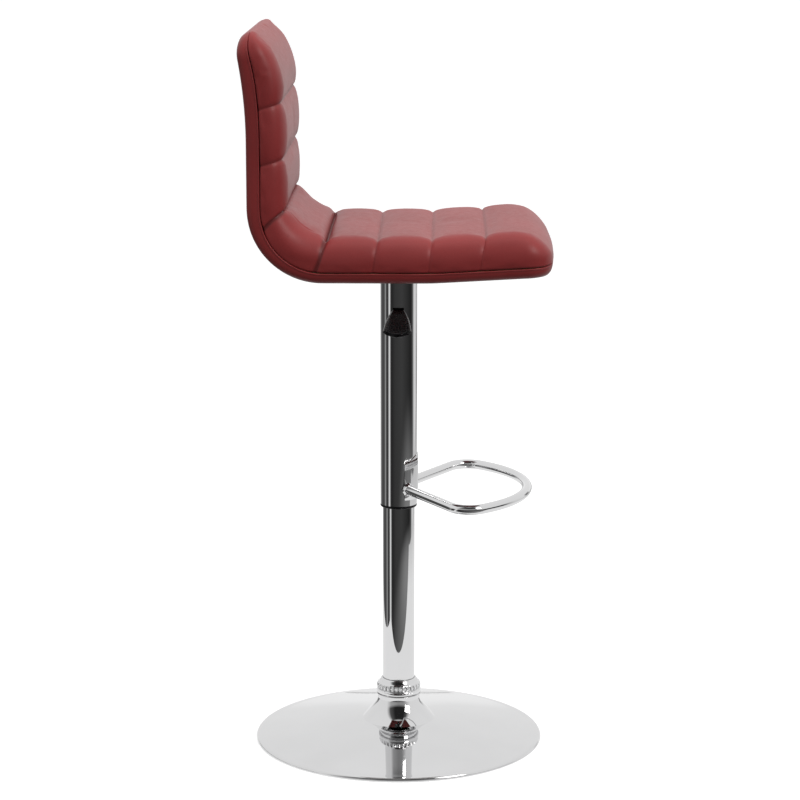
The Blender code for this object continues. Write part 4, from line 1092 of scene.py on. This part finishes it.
def make_world():
    """Studio surroundings: plain white seen directly, with dark and bright stretches for polished metal."""
    world = bpy.data.worlds.new("studio")
    bpy.context.scene.world = world
    world.use_nodes = True
    tree = world.node_tree
    tree.nodes.clear()
    out = tree.nodes.new("ShaderNodeOutputWorld")
    direction = node(tree, "TexCoord").outputs["Generated"]
    parts = node(tree, "SeparateXYZ", {"Vector": direction})
    around = around_axis(tree, direction)
    upward = parts.outputs["Z"]
    polished = level_ramp(tree, around, STUDIO_LOW)
    for heights, stops in ((LOW_TO_MIDDLE, STUDIO_MIDDLE), (MIDDLE_TO_HIGH, STUDIO_HIGH)):
        share = remap(tree, upward, *heights, 0.0, 1.0)
        polished = mix_color(tree, share, polished, level_ramp(tree, around, stops))
    share = remap(tree, upward, *HIGH_TO_OVERHEAD, 0.0, 1.0)
    polished = mix_color(tree, share, polished, OVERHEAD)
    sky = remap(tree, upward, *SKY_HEIGHTS, *SKY_LEVELS)
    soft = node(tree, "CombineColor", {"Red": sky, "Green": sky, "Blue": sky}).outputs["Color"]
    path = node(tree, "LightPath")
    mixed = mix_color(tree, path.outputs["Is Glossy Ray"], soft, polished)
    mixed = mix_color(tree, path.outputs["Is Camera Ray"], mixed, (1.0, 1.0, 1.0))
    background = node(tree, "Background", {"Color": mixed})
    tree.links.new(background.outputs[0], out.inputs["Surface"])


def aim_at(obj, place, target):
    obj.location = place
    obj.rotation_mode = "QUATERNION"
    obj.rotation_quaternion = (Vector(target) - Vector(place)).to_track_quat("-Z", "Y")


def area_light(name, place, target, size, watts):
    data = bpy.data.lights.new(name, "AREA")
    data.shape = "RECTANGLE"
    data.size, data.size_y = size
    data.energy = watts
    data.color = (1.0, 0.985, 0.97)
    lamp = bpy.data.objects.new(name, data)
    bpy.context.scene.collection.objects.link(lamp)
    aim_at(lamp, place, target)
    return lamp


def make_stage():
    make_floor("near_floor", NEAR_FLOOR, 0.0, lit_floor_material("near_floor", near_level))
    make_floor("wide_floor", WIDE_FLOOR, WIDE_FLOOR_Z, lit_floor_material("wide_floor", far_level))
    make_world()
    top = area_light("top_softbox", (-0.4, -0.3, 3.0), (0.0, -0.02, 0.8), (2.2, 2.2), 32.0)
    top.visible_glossy = False
    area_light("front_softbox", (-1.7, -2.0, 2.5), (0.0, -0.05, 0.8), (1.1, 1.1), 26.0)


CAMERA_PLACE = (-3.9424, -0.0674, 1.3450)
CAMERA_AIM = (0.0, -0.0021, 0.5414)


def make_camera():
    data = bpy.data.cameras.new("camera")
    data.lens = 117.09
    data.sensor_width = 36.0
    data.clip_end = 60.0
    camera = bpy.data.objects.new("camera", data)
    bpy.context.scene.collection.objects.link(camera)
    aim_at(camera, CAMERA_PLACE, CAMERA_AIM)
    bpy.context.scene.camera = camera


bpy.context.scene.view_settings.view_transform = "Standard"
make_camera()
make_stage()
dress_cad_nodes()
make_base()
make_collar()
make_tubes()
make_cover_tube()
make_footrest()
make_saddle()
make_grip()
make_shell_layer("padding_layer", FOAM, "foam", 0.0025, 0.0060, 0.0110, "rear_padding")
make_shell_layer("plywood_layer", WOOD, "plywood", 0.0062, 0.0160, 0.0070, "plywood_shell")
make_rear_cover()
make_cushion()
